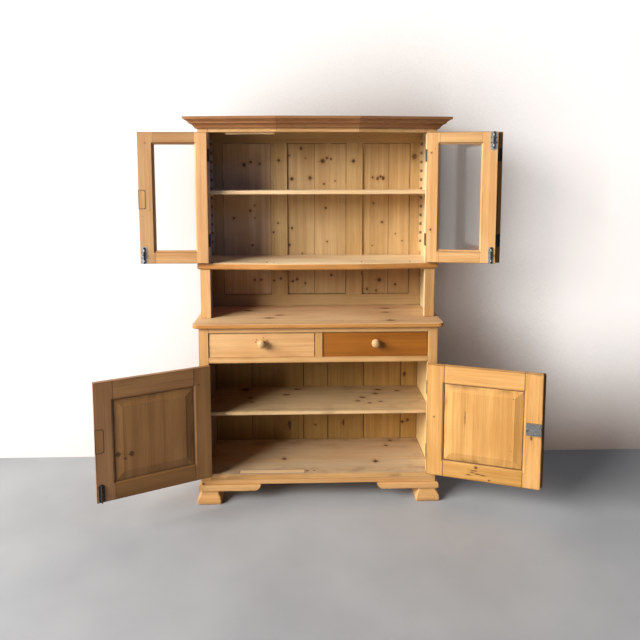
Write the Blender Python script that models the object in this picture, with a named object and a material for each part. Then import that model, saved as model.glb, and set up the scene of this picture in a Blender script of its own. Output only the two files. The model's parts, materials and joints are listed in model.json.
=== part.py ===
"""An antique pine cupboard in two parts: a base with drawers and panelled doors, and a glazed hutch.

The hutch has a shallow canted front with three glazed leaves.  The left leaf hangs on the left stile.
The centre leaf hangs on the right leaf and folds back behind it.  Everything is modelled at rest with
the doors and leaves open.  Metres, Z up, X to the right and Y to the back; the origin is on the ground
under the middle of the open piece.
"""
import math

import bmesh
import bpy
from mathutils import Matrix, Vector

# Plan of the base
BASE_W = 1.180
BASE_D = 0.410
FRONT_Y = -0.088
SIDE_T = 0.022
STILE_W = 0.0475
STILE_T = 0.022
BACK_T = 0.012
BACK_INSET = 0.004
RAIL_T = 0.022

# Plan of the hutch
HUTCH_OVERHANG = 0.005
HUTCH_SETBACK = 0.115
HUTCH_SIDE_T = 0.020
HUTCH_STILE_W = 0.051
HUTCH_STILE_T = 0.022
CREASE_X = 0.203
BOW = 0.036
FRIEZE_T = 0.038
HUTCH_BACK_T = 0.018

# Heights, stacked from the ground up
FOOT_H = 0.064
BRACKET_H = 0.031
PLINTH_H = 0.024
FLOOR_T = 0.028
DOOR_OPENING_H = 0.574
DRAWER_RAIL_H = 0.028
DRAWER_OPENING_H = 0.1235
TOP_RAIL_H = 0.0265
COUNTER_T = 0.0215
NICHE_H = 0.2515
WAIST_T = 0.033
LEAF_OPENING_H = 0.650
FRIEZE_H = 0.057
TOP_BOARD_T = 0.014
CORNICE_H = 0.052

# Clearances
FIT = 0.0003
HINGE_GAP = 0.003
MEETING_GAP = 0.003
DOOR_CLEARANCE = 0.003
DOOR_CLEARANCE_LOW = 0.007
LEAF_CLEARANCE = 0.002
DRAWER_CLEARANCE = 0.003
EASED = 0.0015
EASED_FINE = 0.001
LONG_EDGE = 0.050

# Mouldings and feet
COUNTER_OVERHANG = 0.029
COUNTER_FRONT = 0.022
COUNTER_CORNER_R = 0.028
COUNTER_ROUND = 0.005
WAIST_OVERHANG = 0.012
WAIST_ROUND = 0.009
CORNICE_SOFFIT = 0.012
CORNICE_COVE_OUT = 0.0195
CORNICE_COVE_H = 0.0195
CORNICE_COVE_BOW = 0.0030
CORNICE_FILLET_H = 0.002
CORNICE_STEP = 0.006
CORNICE_OGEE_OUT = 0.0152
CORNICE_OGEE_BOW = 0.0012
CORNICE_LIP_UNDER = 0.0084
CORNICE_LIP_LEAN = 0.0034
CORNICE_LIP_H = 0.0118
BRACKET_OUT = 0.013
BRACKET_L = 0.310
BRACKET_RETURN = 0.130
BRACKET_T = 0.030
BRACKET_END = 0.040
BRACKET_END_BOW = 0.0075
FOOT_OUT = 0.020
FOOT_W = 0.121
FOOT_D = 0.114
FOOT_OGEE = 0.017
FOOT_CORNER_R = 0.007
REAR_FOOT_W = 0.060
REAR_FOOT_D = 0.090

# Inside the base
SHELF_TOP = 0.456
SHELF_T = 0.019
SHELF_SETBACK = 0.042
CLEAT = 0.018
LEFT_PLANK = 0.202
RIGHT_PLANKS = (0.137, 0.204, 0.210, 0.0934)
PLANK_GROOVE = 0.004
DIVIDER_W = 0.036
RUNNER_W = 0.024
RUNNER_H = 0.018
GUIDE_H = 0.030

# Inside the hutch
HUTCH_SHELF_TOP = 1.566
HUTCH_SHELF_T = 0.019
HUTCH_SHELF_SETBACK = 0.040
RACK_W = 0.022
RACK_T = 0.012
RACK_PITCH = 0.048
RACK_NOTCH = 0.008
RACK_NOTCH_H = 0.016
RACK_SETBACK = 0.014
SHELF_BAR_H = 0.018
BACK_STILE = 0.062
BACK_MUNTIN_W = 0.088
BACK_MUNTIN_X = 0.206
BACK_TOP_RAIL = 0.095
BACK_BOTTOM_RAIL = 0.064
BACK_PANEL_T = 0.008
BACK_REBATE = 0.009
STOP_W = 0.012
STOP_H = 0.010
STOP_START = 0.135
STOP_END = 0.012

# Drawers
DRAWER_FRONT_T = 0.020
DRAWER_SETBACK = 0.004
DRAWER_BACK_GAP = 0.0387
DRAWER_BOX_H = 0.095
DRAWER_SIDE_T = 0.012
DRAWER_BOTTOM_T = 0.007
DRAWER_BOTTOM_LIFT = 0.006
KNOB_R = 0.0215
KNOB_NECK_R = 0.0095
KNOB_COLLAR_R = 0.0145
KNOB_OUT = 0.040
KNOB_COLLAR_T = 0.003
KNOB_COVE = 0.003
KNOB_NECK_L = 0.004
KNOB_LIFT = 0.011
KNOB_SPIGOT_R = 0.006
KNOB_SPIGOT_L = 0.014

# Lower doors
DOOR_T = 0.024
DOOR_STILE_W = 0.084
DOOR_TOP_RAIL = 0.092
DOOR_BOTTOM_RAIL = 0.085
GROOVE_W = 0.008
GROOVE_D = 0.0125
PANEL_BEVEL = 0.040
PANEL_STEP = 0.001
PANEL_RECESS = 0.003
PANEL_LAP = 0.010
DOOR_CHAMFER_W = 0.0095
DOOR_CHAMFER_D = 0.006
LOCK_W = 0.069
LOCK_H = 0.058
LOCK_T = 0.011
LOCK_EDGE = 0.003
LOCK_LIFT = 0.014
LOCK_BOSS_R = 0.008
LOCK_BOSS_OUT = 0.0015

# Glazed leaves
LEAF_T = 0.022
LEAF_HINGE_STILE_W = 0.062
LEAF_FREE_STILE_W = 0.077
LEAF_TOP_RAIL = 0.060
LEAF_BOTTOM_RAIL = 0.064
LEAF_LIP = 0.008
LEAF_REBATE = 0.008
GLASS_T = 0.003
GLAZING_BEAD = 0.010

# Hinges and bolts
HINGE_R = 0.005
HINGE_PLATE_T = 0.0012
HINGE_PLATE_W = 0.019
HINGE_L_DOOR = 0.062
HINGE_L_LEAF = 0.062
DOOR_HINGE_LOW = 0.103
DOOR_HINGE_HIGH = 0.130
LEAF_HINGE_IN = 0.112
BOLT_R = 0.004
BOLT_L = 0.082
BOLT_OFF = 0.0009
BOLT_EDGE = 0.022
BOLT_HOLE_R = 0.0056
BOLT_HOLE_D = 0.022
BOLT_KNOB_R = 0.0045
BOLT_KNOB_OUT = 0.010
BOLT_KNOB_AT = 0.046

# Opening angles at rest, in degrees from closed
LEFT_DOOR_OPEN = 155.0
RIGHT_DOOR_OPEN = 161.0
LEFT_LEAF_OPEN = 174.5
RIGHT_LEAF_OPEN = 164.0
CENTRE_LEAF_OPEN = 121.0

# Levels and planes worked out from the sizes above
LEFT = -1
RIGHT = 1
SIDE_NAME = {LEFT: "left", RIGHT: "right"}
Z_PLINTH = FOOT_H + BRACKET_H
Z_FLOOR = Z_PLINTH + PLINTH_H
Z_FLOOR_TOP = Z_FLOOR + FLOOR_T
Z_DOOR_HEAD = Z_FLOOR_TOP + DOOR_OPENING_H
Z_DRAWER = Z_DOOR_HEAD + DRAWER_RAIL_H
Z_TOP_RAIL = Z_DRAWER + DRAWER_OPENING_H
Z_COUNTER = Z_TOP_RAIL + TOP_RAIL_H
Z_COUNTER_TOP = Z_COUNTER + COUNTER_T
Z_WAIST = Z_COUNTER_TOP + NICHE_H
Z_WAIST_TOP = Z_WAIST + WAIST_T
Z_FRIEZE = Z_WAIST_TOP + LEAF_OPENING_H
Z_HUTCH_TOP = Z_FRIEZE + FRIEZE_H
Z_CORNICE = Z_HUTCH_TOP + TOP_BOARD_T - CORNICE_H
BACK_Y = FRONT_Y + BASE_D
BASE_BACK_Y = BACK_Y - BACK_INSET - BACK_T
HUTCH_BACK_Y = BACK_Y - BACK_INSET - HUTCH_BACK_T
HALF_BASE = BASE_W / 2
HALF_HUTCH = HALF_BASE + HUTCH_OVERHANG
HUTCH_Y = FRONT_Y + HUTCH_SETBACK
CREASE_Y = HUTCH_Y - BOW
CANT = math.atan2(BOW, HALF_HUTCH - CREASE_X)
PIN_OUT = HINGE_R + FIT
INNER_BASE = HALF_BASE - SIDE_T
INNER_STILE = HALF_BASE - STILE_W
INNER_HUTCH = HALF_HUTCH - HUTCH_SIDE_T


def clear_scene():
    """Empty the scene, so that the script gives the same model each time it runs."""
    for obj in list(bpy.data.objects):
        bpy.data.objects.remove(obj, do_unlink=True)


def finish(name, colour, roughness, metallic=0.0):
    """A plain Principled material."""
    mat = bpy.data.materials.new(name)
    mat.use_nodes = True
    shader = mat.node_tree.nodes["Principled BSDF"]
    shader.inputs["Base Color"].default_value = (*colour, 1.0)
    shader.inputs["Roughness"].default_value = roughness
    shader.inputs["Metallic"].default_value = metallic
    return mat


# Shapes, each returned as a closed bmesh

def point_on(axis, a, b, c):
    """A point from its two outline coordinates and its place along the extrusion axis."""
    return {"X": (c, a, b), "Y": (a, c, b), "Z": (a, b, c)}[axis]


def skin(rings):
    """A closed body through rings of equally many points, with a face on each end."""
    bm = bmesh.new()
    loops = [[bm.verts.new(p) for p in ring] for ring in rings]
    count = len(loops[0])
    for low, high in zip(loops, loops[1:]):
        for i in range(count):
            j = (i + 1) % count
            bm.faces.new((low[i], low[j], high[j], high[i]))
    bm.faces.new(loops[0])
    bm.faces.new(loops[-1])
    bmesh.ops.recalc_face_normals(bm, faces=bm.faces)
    return bm


def prism(outline, low, high, axis="Z"):
    """An outline drawn across an axis and extruded along it from low to high."""
    return skin([[point_on(axis, a, b, c) for a, b in outline] for c in (low, high)])


def block(low, high):
    """A box between two corners."""
    outline = [(low[0], low[1]), (high[0], low[1]), (high[0], high[1]), (low[0], high[1])]
    return prism(outline, low[2], high[2])


def rod(centre, radius, low, high, axis="Z", sides=12):
    """A round bar along an axis."""
    turn = [2 * math.pi * i / sides for i in range(sides)]
    outline = [(centre[0] + radius * math.cos(t), centre[1] + radius * math.sin(t)) for t in turn]
    return prism(outline, low, high, axis)


def turned(profile, sides=20):
    """A turned piece about the Y axis from (radius, y) pairs that start and end away from the axis."""
    turn = [2 * math.pi * i / sides for i in range(sides)]
    return skin([[(r * math.cos(t), y, r * math.sin(t)) for t in turn] for r, y in profile])


def arc(centre, radii, start, end, steps):
    """Points along part of an ellipse, angles in degrees."""
    points = []
    for i in range(steps + 1):
        t = math.radians(start + (end - start) * i / steps)
        points.append((centre[0] + radii[0] * math.cos(t), centre[1] + radii[1] * math.sin(t)))
    return points


def bowed(start, end, bow, steps):
    """Points from start to end along a shallow bow; a positive bow lies to the left of the way."""
    along = (end[0] - start[0], end[1] - start[1])
    length = math.hypot(*along)
    left = (-along[1] / length, along[0] / length)
    points = []
    for i in range(steps + 1):
        t = i / steps
        rise = 4 * bow * t * (1 - t)
        points.append((start[0] + along[0] * t + left[0] * rise, start[1] + along[1] * t + left[1] * rise))
    return points


def rounded(left, near, right, far, r):
    """The outline of a rectangle with rounded corners."""
    points = arc((left + r, near + r), (r, r), 180, 270, 3)
    points += arc((right - r, near + r), (r, r), 270, 360, 3)
    points += arc((right - r, far - r), (r, r), 0, 90, 3)
    return points + arc((left + r, far - r), (r, r), 90, 180, 3)


def offset_path(path, out):
    """An open path moved sideways by a distance, mitred at its corners; positive is to its right."""
    moved = []
    for i, p in enumerate(path):
        sides = []
        for a, b in ((i - 1, i), (i, i + 1)):
            if a >= 0 and b < len(path):
                run = Vector(path[b]) - Vector(path[a])
                run.normalize()
                sides.append(Vector((run.y, -run.x)))
        normal = sides[0]
        if len(sides) == 2:
            normal = (sides[0] + sides[1]) / (1 + sides[0].dot(sides[1]))
        moved.append(tuple(Vector(p) + normal * out))
    return moved


def moulding(path, profile):
    """A moulding run along a path in plan, from a closed profile of (distance out, height) pairs."""
    runs = [(offset_path(path, out), z) for out, z in profile]
    return skin([[(run[i][0], run[i][1], z) for run, z in runs] for i in range(len(path))])


def mirrored(outline, side):
    """An outline drawn for the left, turned over for the right."""
    return [(-side * x, y) for x, y in outline]


def at_side(low, high, side):
    """A box given for the left side, mirrored for the right."""
    outline = mirrored([(low[0], low[1]), (high[0], low[1]), (high[0], high[1]), (low[0], high[1])], side)
    return prism(outline, low[2], high[2])


def flare(near, far, low, high, start, end, spread, side):
    """A cutter that widens evenly on all four sides from one depth to another and a little beyond."""
    beyond = end + (end - start) / 2
    rings = []
    for depth, grow in ((start, 0.0), (beyond, 1.5 * spread)):
        a = -side * (near - grow)
        b = -side * (far + grow)
        rings.append([(a, depth, low - grow), (b, depth, low - grow), (b, depth, high + grow),
                      (a, depth, high + grow)])
    return skin(rings)


# Building the named pieces

def make_object(name, bm):
    """Put a bmesh in the scene as an object."""
    mesh = bpy.data.meshes.new(name)
    bm.to_mesh(mesh)
    bm.free()
    obj = bpy.data.objects.new(name, mesh)
    bpy.context.collection.objects.link(obj)
    return obj


def combine(obj, bm, operation):
    """Union or difference with another closed body, applied at once."""
    tool = make_object("tool", bm)
    mod = obj.modifiers.new(operation.title(), "BOOLEAN")
    mod.operation = operation
    mod.object = tool
    bpy.context.view_layer.objects.active = obj
    bpy.ops.object.modifier_apply(modifier=mod.name)
    bpy.data.objects.remove(tool, do_unlink=True)


def ease_edges(obj, width, segments, where=None):
    """Round the outward edges of a board, or only its long edges whose ends both pass a test."""
    bm = bmesh.new()
    bm.from_mesh(obj.data)
    weight = bm.edges.layers.float.new("bevel_weight_edge")
    for edge in bm.edges:
        outward = edge.calc_face_angle_signed(0.0) > math.radians(40)
        if where:
            chosen = edge.calc_length() > LONG_EDGE and all(where(v.co) for v in edge.verts)
        else:
            chosen = True
        if outward and chosen:
            edge[weight] = 1.0
    bm.to_mesh(obj.data)
    bm.free()
    mod = obj.modifiers.new("Eased edges", "BEVEL")
    mod.width = width
    mod.segments = segments
    mod.limit_method = "WEIGHT"


def piece(name, mat, body, add=(), cut=(), parent=None, eased=0.0, segments=1, where=None):
    """One named solid: a body, bodies glued to it, cuts made in it, and its eased edges."""
    obj = make_object(name, body)
    for bm in add:
        combine(obj, bm, "UNION")
    for bm in cut:
        combine(obj, bm, "DIFFERENCE")
    obj.data.materials.clear()
    obj.data.materials.append(mat)
    if eased:
        ease_edges(obj, eased, segments, where)
    obj.parent = parent
    return obj


def pivot(name, location, turn=0.0, parent=None):
    """An empty on a joint's axis, which carries the pieces that move there."""
    empty = bpy.data.objects.new(name, None)
    empty.location = location
    empty.rotation_euler = (0.0, 0.0, turn)
    empty.parent = parent
    bpy.context.collection.objects.link(empty)
    return empty


# The canted front of the hutch

def facet_point(along, inward):
    """A plan point on the left facet: along its face from the outer corner, and inward from it."""
    x = -HALF_HUTCH + along * math.cos(CANT) + inward * math.sin(CANT)
    y = HUTCH_Y - along * math.sin(CANT) + inward * math.cos(CANT)
    return (x, y)


def facet_at_x(x, inward):
    """The plan point at a given X, a given distance inward from the left facet."""
    along = (x + HALF_HUTCH - inward * math.sin(CANT)) / math.cos(CANT)
    return facet_point(along, inward)


def hutch_front_path():
    """The front of the hutch in plan, from the left corner to the right one."""
    left = [(-HALF_HUTCH, HUTCH_Y), (-CREASE_X, CREASE_Y)]
    return left + [(-x, y) for x, y in reversed(left)]


def hutch_round_path():
    """The hutch's three visible sides in plan, from the back left corner to the back right one."""
    front = hutch_front_path()
    return [(-HALF_HUTCH, BACK_Y)] + front + [(HALF_HUTCH, BACK_Y)]


def hutch_side_outline(side, grow=0.0):
    """The L of a side board and its face stile in plan, grown all round by a clearance."""
    stile = HUTCH_STILE_W + grow
    thick = HUTCH_STILE_T + grow
    outer = -HALF_HUTCH - grow
    inner = -INNER_HUTCH + grow
    outline = [facet_at_x(outer, -grow), facet_point(stile, -grow), facet_point(stile, thick)]
    outline += [facet_at_x(inner, thick), (inner, BACK_Y + grow), (outer, BACK_Y + grow)]
    return mirrored(outline, side)


def leaf_free_edge(inward):
    """Distance along the left facet to a side leaf's free edge, at a depth behind its face."""
    edge_x = -CREASE_X - MEETING_GAP / 2
    return (edge_x + HALF_HUTCH - inward * math.sin(CANT)) / math.cos(CANT)


def leaf_bolt_point():
    """Plan point of a side leaf's bolt when the leaf is closed, for the left leaf."""
    return facet_point(leaf_free_edge(0.0) - BOLT_EDGE, LEAF_T + BOLT_OFF + BOLT_R)


# The base

def on_front(point):
    """Whether a point lies on the front plane of the base."""
    return abs(point.y - FRONT_Y) < FIT / 2


def base_sides(pine):
    """Side boards with their face stiles, rear feet, cleats and drawer runners."""
    for side in (LEFT, RIGHT):
        board = at_side((-HALF_BASE, FRONT_Y + STILE_T - FIT, Z_PLINTH + FIT),
                        (-INNER_BASE, BACK_Y, Z_COUNTER), side)
        stile = at_side((-HALF_BASE, FRONT_Y, Z_FLOOR + FIT),
                        (-INNER_STILE, FRONT_Y + STILE_T, Z_COUNTER), side)
        foot = at_side((-HALF_BASE, BACK_Y - REAR_FOOT_D, 0.0),
                       (-HALF_BASE + REAR_FOOT_W, BACK_Y, Z_FLOOR), side)
        cleat_front = FRONT_Y + SHELF_SETBACK + CLEAT
        cleat_back = BASE_BACK_Y - FIT
        floor_cleat = at_side((-INNER_BASE - FIT, cleat_front, Z_FLOOR - CLEAT),
                              (-INNER_BASE + CLEAT, cleat_back, Z_FLOOR), side)
        shelf_cleat = at_side((-INNER_BASE - FIT, cleat_front, SHELF_TOP - SHELF_T - CLEAT),
                              (-INNER_BASE + CLEAT, cleat_back, SHELF_TOP - SHELF_T - FIT), side)
        runner_front = FRONT_Y + max(RAIL_T, STILE_T) + FIT
        runner = at_side((-INNER_BASE - FIT, runner_front, Z_DRAWER - RUNNER_H),
                         (-INNER_STILE + RUNNER_W, cleat_back, Z_DRAWER - FIT), side)
        guide = at_side((-INNER_BASE - FIT, runner_front, Z_DRAWER - RUNNER_H),
                        (-INNER_STILE, cleat_back, Z_DRAWER + GUIDE_H), side)
        parts = (stile, foot, floor_cleat, shelf_cleat, runner, guide)
        piece("base_side_" + SIDE_NAME[side], pine, board, add=parts, eased=EASED_FINE, where=on_front)


def base_boards(pine):
    """Floor, shelf, boarded back, plinth rail, drawer rails and divider."""
    front_half = INNER_STILE - FIT
    back_half = INNER_BASE - FIT
    shoulder = FRONT_Y + STILE_T + FIT
    back = BASE_BACK_Y - FIT
    outline = [(-front_half, FRONT_Y), (front_half, FRONT_Y), (front_half, shoulder), (back_half, shoulder)]
    outline += [(back_half, back), (-back_half, back), (-back_half, shoulder), (-front_half, shoulder)]
    hole = rod(lower_bolt_point(), BOLT_HOLE_R, Z_FLOOR - FLOOR_T, Z_FLOOR_TOP + FLOOR_T)
    piece("base_floor", pine, prism(outline, Z_FLOOR + FIT, Z_FLOOR_TOP), cut=(hole,), eased=EASED,
          where=on_front)

    piece("base_shelf", pine,
          block((-back_half, FRONT_Y + SHELF_SETBACK, SHELF_TOP - SHELF_T), (back_half, back, SHELF_TOP)),
          eased=EASED)

    # The outer planks keep their widths, and the wide one left of the middle takes what remains
    joints = [-back_half + LEFT_PLANK]
    for i in range(len(RIGHT_PLANKS)):
        joints.append(back_half - sum(RIGHT_PLANKS[i:]))
    face = [(-back_half, BASE_BACK_Y)]
    for joint in joints:
        face += [(joint - PLANK_GROOVE / 2, BASE_BACK_Y), (joint, BASE_BACK_Y + PLANK_GROOVE),
                 (joint + PLANK_GROOVE / 2, BASE_BACK_Y)]
    rear = BASE_BACK_Y + BACK_T
    face += [(back_half, BASE_BACK_Y), (back_half, rear), (-back_half, rear)]
    piece("base_back", pine, prism(face, Z_FLOOR + FIT, Z_COUNTER))

    piece("plinth_rail", pine,
          block((-HALF_BASE, FRONT_Y, Z_PLINTH + FIT), (HALF_BASE, FRONT_Y + STILE_T - 2 * FIT, Z_FLOOR)),
          eased=EASED)
    piece("drawer_bottom_rail", pine,
          block((-front_half, FRONT_Y, Z_DOOR_HEAD), (front_half, FRONT_Y + RAIL_T, Z_DRAWER)), eased=EASED)
    piece("drawer_top_rail", pine,
          block((-front_half, FRONT_Y, Z_TOP_RAIL), (front_half, FRONT_Y + RAIL_T, Z_COUNTER)), eased=EASED)

    half = DIVIDER_W / 2
    runner_back = BASE_BACK_Y - FIT
    runner_front = FRONT_Y + RAIL_T + FIT
    divider = block((-half, FRONT_Y, Z_DRAWER + FIT), (half, runner_front + FIT, Z_TOP_RAIL - FIT))
    runner = block((-half - RUNNER_W, runner_front, Z_DRAWER - RUNNER_H),
                   (half + RUNNER_W, runner_back, Z_DRAWER - FIT))
    guide = block((-half, runner_front, Z_DRAWER - RUNNER_H), (half, runner_back, Z_DRAWER + GUIDE_H))
    piece("drawer_divider", pine, divider, add=(runner, guide), eased=EASED_FINE, where=on_front)


def counter(pine):
    """The counter board, with rounded front corners and a rounded edge."""
    half = HALF_BASE + COUNTER_OVERHANG
    front = FRONT_Y - COUNTER_FRONT
    r = COUNTER_CORNER_R
    outline = arc((-half + r, front + r), (r, r), 180, 270, 5)
    outline += arc((half - r, front + r), (r, r), 270, 360, 5)
    outline += [(half, BACK_Y), (-half, BACK_Y)]
    piece("counter_top", pine, prism(outline, Z_COUNTER + FIT, Z_COUNTER_TOP), eased=COUNTER_ROUND,
          segments=3)


def front_feet(pine):
    """A moulded bracket with a rounded end under the plinth, and an ogee foot under its corner."""
    end_x = -HALF_BASE - BRACKET_OUT + BRACKET_L
    low = FOOT_H
    high = FOOT_H + BRACKET_H
    round_in = BRACKET_OUT / 2
    profile = [(-BRACKET_T, low)]
    profile += arc((BRACKET_OUT - round_in, low + round_in), (round_in, round_in), -90, 0, 3)
    profile += arc((BRACKET_OUT - round_in, high - round_in), (round_in, round_in), 0, 90, 3)
    profile += [(-BRACKET_T, high)]
    path = [(-HALF_BASE, FRONT_Y + BRACKET_RETURN), (-HALF_BASE, FRONT_Y), (end_x, FRONT_Y)]
    rise = BRACKET_H - round_in / 2
    corner = bowed((end_x - BRACKET_END, low), (end_x, low + rise), -BRACKET_END_BOW, 7)
    beyond = BRACKET_END
    corner += [(end_x + beyond, low + rise), (end_x + beyond, low - beyond),
               (end_x - BRACKET_END, low - beyond)]
    # Each step of the ogee: height as a share of the foot, and how far the wood is drawn in there
    ogee = [(0.0, 0.30), (0.05, 0.12), (0.12, 0.03), (0.24, 0.0), (0.38, 0.04), (0.48, 0.14), (0.58, 0.32),
            (0.68, 0.58), (0.78, 0.82), (0.88, 0.96), (1.02, 1.0)]
    for side in (LEFT, RIGHT):
        rings = []
        for share, drawn in ogee:
            inset = FOOT_OGEE * drawn
            outer = -HALF_BASE - FOOT_OUT + inset
            inner = -HALF_BASE - FOOT_OUT + FOOT_W - inset
            near = FRONT_Y - FOOT_OUT + inset
            far = FRONT_Y - FOOT_OUT + FOOT_D - inset
            corners = mirrored(rounded(outer, near, inner, far, FOOT_CORNER_R), side)
            rings.append([(x, y, share * FOOT_H) for x, y in corners])
        bracket = moulding(path, profile)
        if side == RIGHT:
            bmesh.ops.scale(bracket, vec=(-1, 1, 1), verts=bracket.verts)
            bmesh.ops.reverse_faces(bracket, faces=bracket.faces)
        cutter = prism(mirrored(corner, side), FRONT_Y - BRACKET_T, FRONT_Y + BRACKET_T + BRACKET_OUT, "Y")
        piece("front_foot_" + SIDE_NAME[side], pine, bracket, add=(skin(rings),), cut=(cutter,))


# Drawers

def drawers(pine, orange_pine, knob_pine):
    """Two drawers, each a front, an open box and a turned knob on a spigot."""
    def on_face(point):
        return abs(point.y) < FIT / 2

    half_divider = DIVIDER_W / 2
    for side in (LEFT, RIGHT):
        name = "drawer_" + SIDE_NAME[side] + "_"
        inner = half_divider + DRAWER_CLEARANCE
        outer = INNER_STILE - DRAWER_CLEARANCE
        middle = side * (inner + outer) / 2
        half = (outer - inner) / 2
        low = Z_DRAWER
        high = Z_TOP_RAIL - DRAWER_CLEARANCE
        handle_z = (low + high) / 2 + KNOB_LIFT
        slide = pivot(name + "slide", (middle, FRONT_Y + DRAWER_SETBACK, 0.0))
        hole = rod((0.0, handle_z), KNOB_SPIGOT_R + FIT, -DRAWER_FRONT_T, 2 * DRAWER_FRONT_T, "Y", 16)
        front = block((-half, 0.0, low), (half, DRAWER_FRONT_T, high))
        wood = pine if side == LEFT else orange_pine
        piece(name + "front", wood, front, cut=(hole,), parent=slide, eased=EASED, where=on_face)

        box_front = DRAWER_FRONT_T + FIT
        box_back = BASE_BACK_Y - FRONT_Y - DRAWER_SETBACK - DRAWER_BACK_GAP
        body = block((-half, box_front, low), (half, box_back, low + DRAWER_BOX_H))
        inside = half - DRAWER_SIDE_T
        floor_top = low + DRAWER_BOTTOM_LIFT + DRAWER_BOTTOM_T
        room = block((-inside, box_front - DRAWER_SIDE_T, floor_top),
                     (inside, box_back - DRAWER_SIDE_T, low + 2 * DRAWER_BOX_H))
        under = block((-inside, box_front - DRAWER_SIDE_T, low - DRAWER_BOTTOM_LIFT),
                      (inside, box_back + DRAWER_SIDE_T, low + DRAWER_BOTTOM_LIFT))
        piece(name + "box", pine, body, cut=(room, under), parent=slide)

        ball_y = -KNOB_OUT + KNOB_R * 0.85
        profile = [(KNOB_SPIGOT_R, KNOB_SPIGOT_L), (KNOB_SPIGOT_R, -FIT), (KNOB_COLLAR_R, -FIT),
                   (KNOB_COLLAR_R, -KNOB_COLLAR_T), (KNOB_NECK_R, -KNOB_COLLAR_T - KNOB_COVE),
                   (KNOB_NECK_R, -KNOB_COLLAR_T - KNOB_COVE - KNOB_NECK_L)]
        for turn in (-20, 0, 20, 40, 60, 75, 86):
            t = math.radians(turn)
            profile.append((KNOB_R * math.cos(t), ball_y - KNOB_R * 0.85 * math.sin(t)))
        knob = turned(profile)
        bmesh.ops.translate(knob, vec=(0.0, 0.0, handle_z), verts=knob.verts)
        obj = piece(name + "knob", knob_pine, knob, parent=slide)
        obj.data.shade_smooth()
        obj.data.set_sharp_from_angle(angle=math.radians(50))


# Hinges and bolts

def hinge(name, iron, side, middle, length, parent):
    """A butt hinge about its pin: the barrel, and the plate let in against the fixed edge."""
    start = math.degrees(math.asin(HINGE_PLATE_T / HINGE_R)) + 90
    outline = arc((0.0, 0.0), (HINGE_R, HINGE_R), start, 450, 15)
    reach = PIN_OUT + HINGE_PLATE_W
    outline += [(0.0, reach), (-HINGE_PLATE_T, reach)]
    body = prism(mirrored(outline, side), middle - length / 2, middle + length / 2)
    piece(name, iron, body, parent=parent)


def bolt(name, iron, centre, low, high, knob_z, parent):
    """A slide bolt: a round bar with a finger knob, lying on the inner face of its leaf."""
    bar = rod(centre, BOLT_R, low, high)
    knob_from = centre[1] + BOLT_R / 2
    knob = rod((centre[0], knob_z), BOLT_KNOB_R, knob_from, knob_from + BOLT_R / 2 + BOLT_KNOB_OUT, "Y", 10)
    piece(name, iron, bar, add=(knob,), parent=parent)


# Lower doors, each drawn from its pin: away from the pin along the door, and inward from the pin

def door_pin_x():
    """Distance of a lower door's pin from the middle of the base."""
    return INNER_STILE - HINGE_GAP / 2


def door_width():
    """Distance from a lower door's pin to its free edge."""
    return door_pin_x() - MEETING_GAP / 2


def lower_bolt_point():
    """Plan point of the lower left door's bolt when the door is closed."""
    return (-door_pin_x() + door_width() - BOLT_EDGE, FRONT_Y + DOOR_T + BOLT_OFF + BOLT_R)


def door_block(side, near, far, outer, inner, low, high):
    """A box on a lower door, between two distances from the pin and two depths."""
    return at_side((near, outer, low), (far, inner, high), side)


def fielded_panel(side, near, far, low, high, outer, inner):
    """A panel with a tongue all round and a bevelled, raised field on both faces."""
    middle = (outer + inner) / 2
    tongue = GROOVE_W / 2 - FIT
    field = PANEL_LAP + PANEL_BEVEL
    steps = [(field, outer + PANEL_RECESS), (field, outer + PANEL_RECESS + PANEL_STEP),
             (PANEL_LAP, middle - tongue), (0.0, middle - tongue), (0.0, middle + tongue),
             (PANEL_LAP, middle + tongue), (field, inner - PANEL_RECESS - PANEL_STEP),
             (field, inner - PANEL_RECESS)]
    rings = []
    for inset, y in steps:
        a = -side * (near + inset)
        b = -side * (far - inset)
        rings.append([(a, y, low + inset), (b, y, low + inset), (b, y, high - inset), (a, y, high - inset)])
    return skin(rings)


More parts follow.
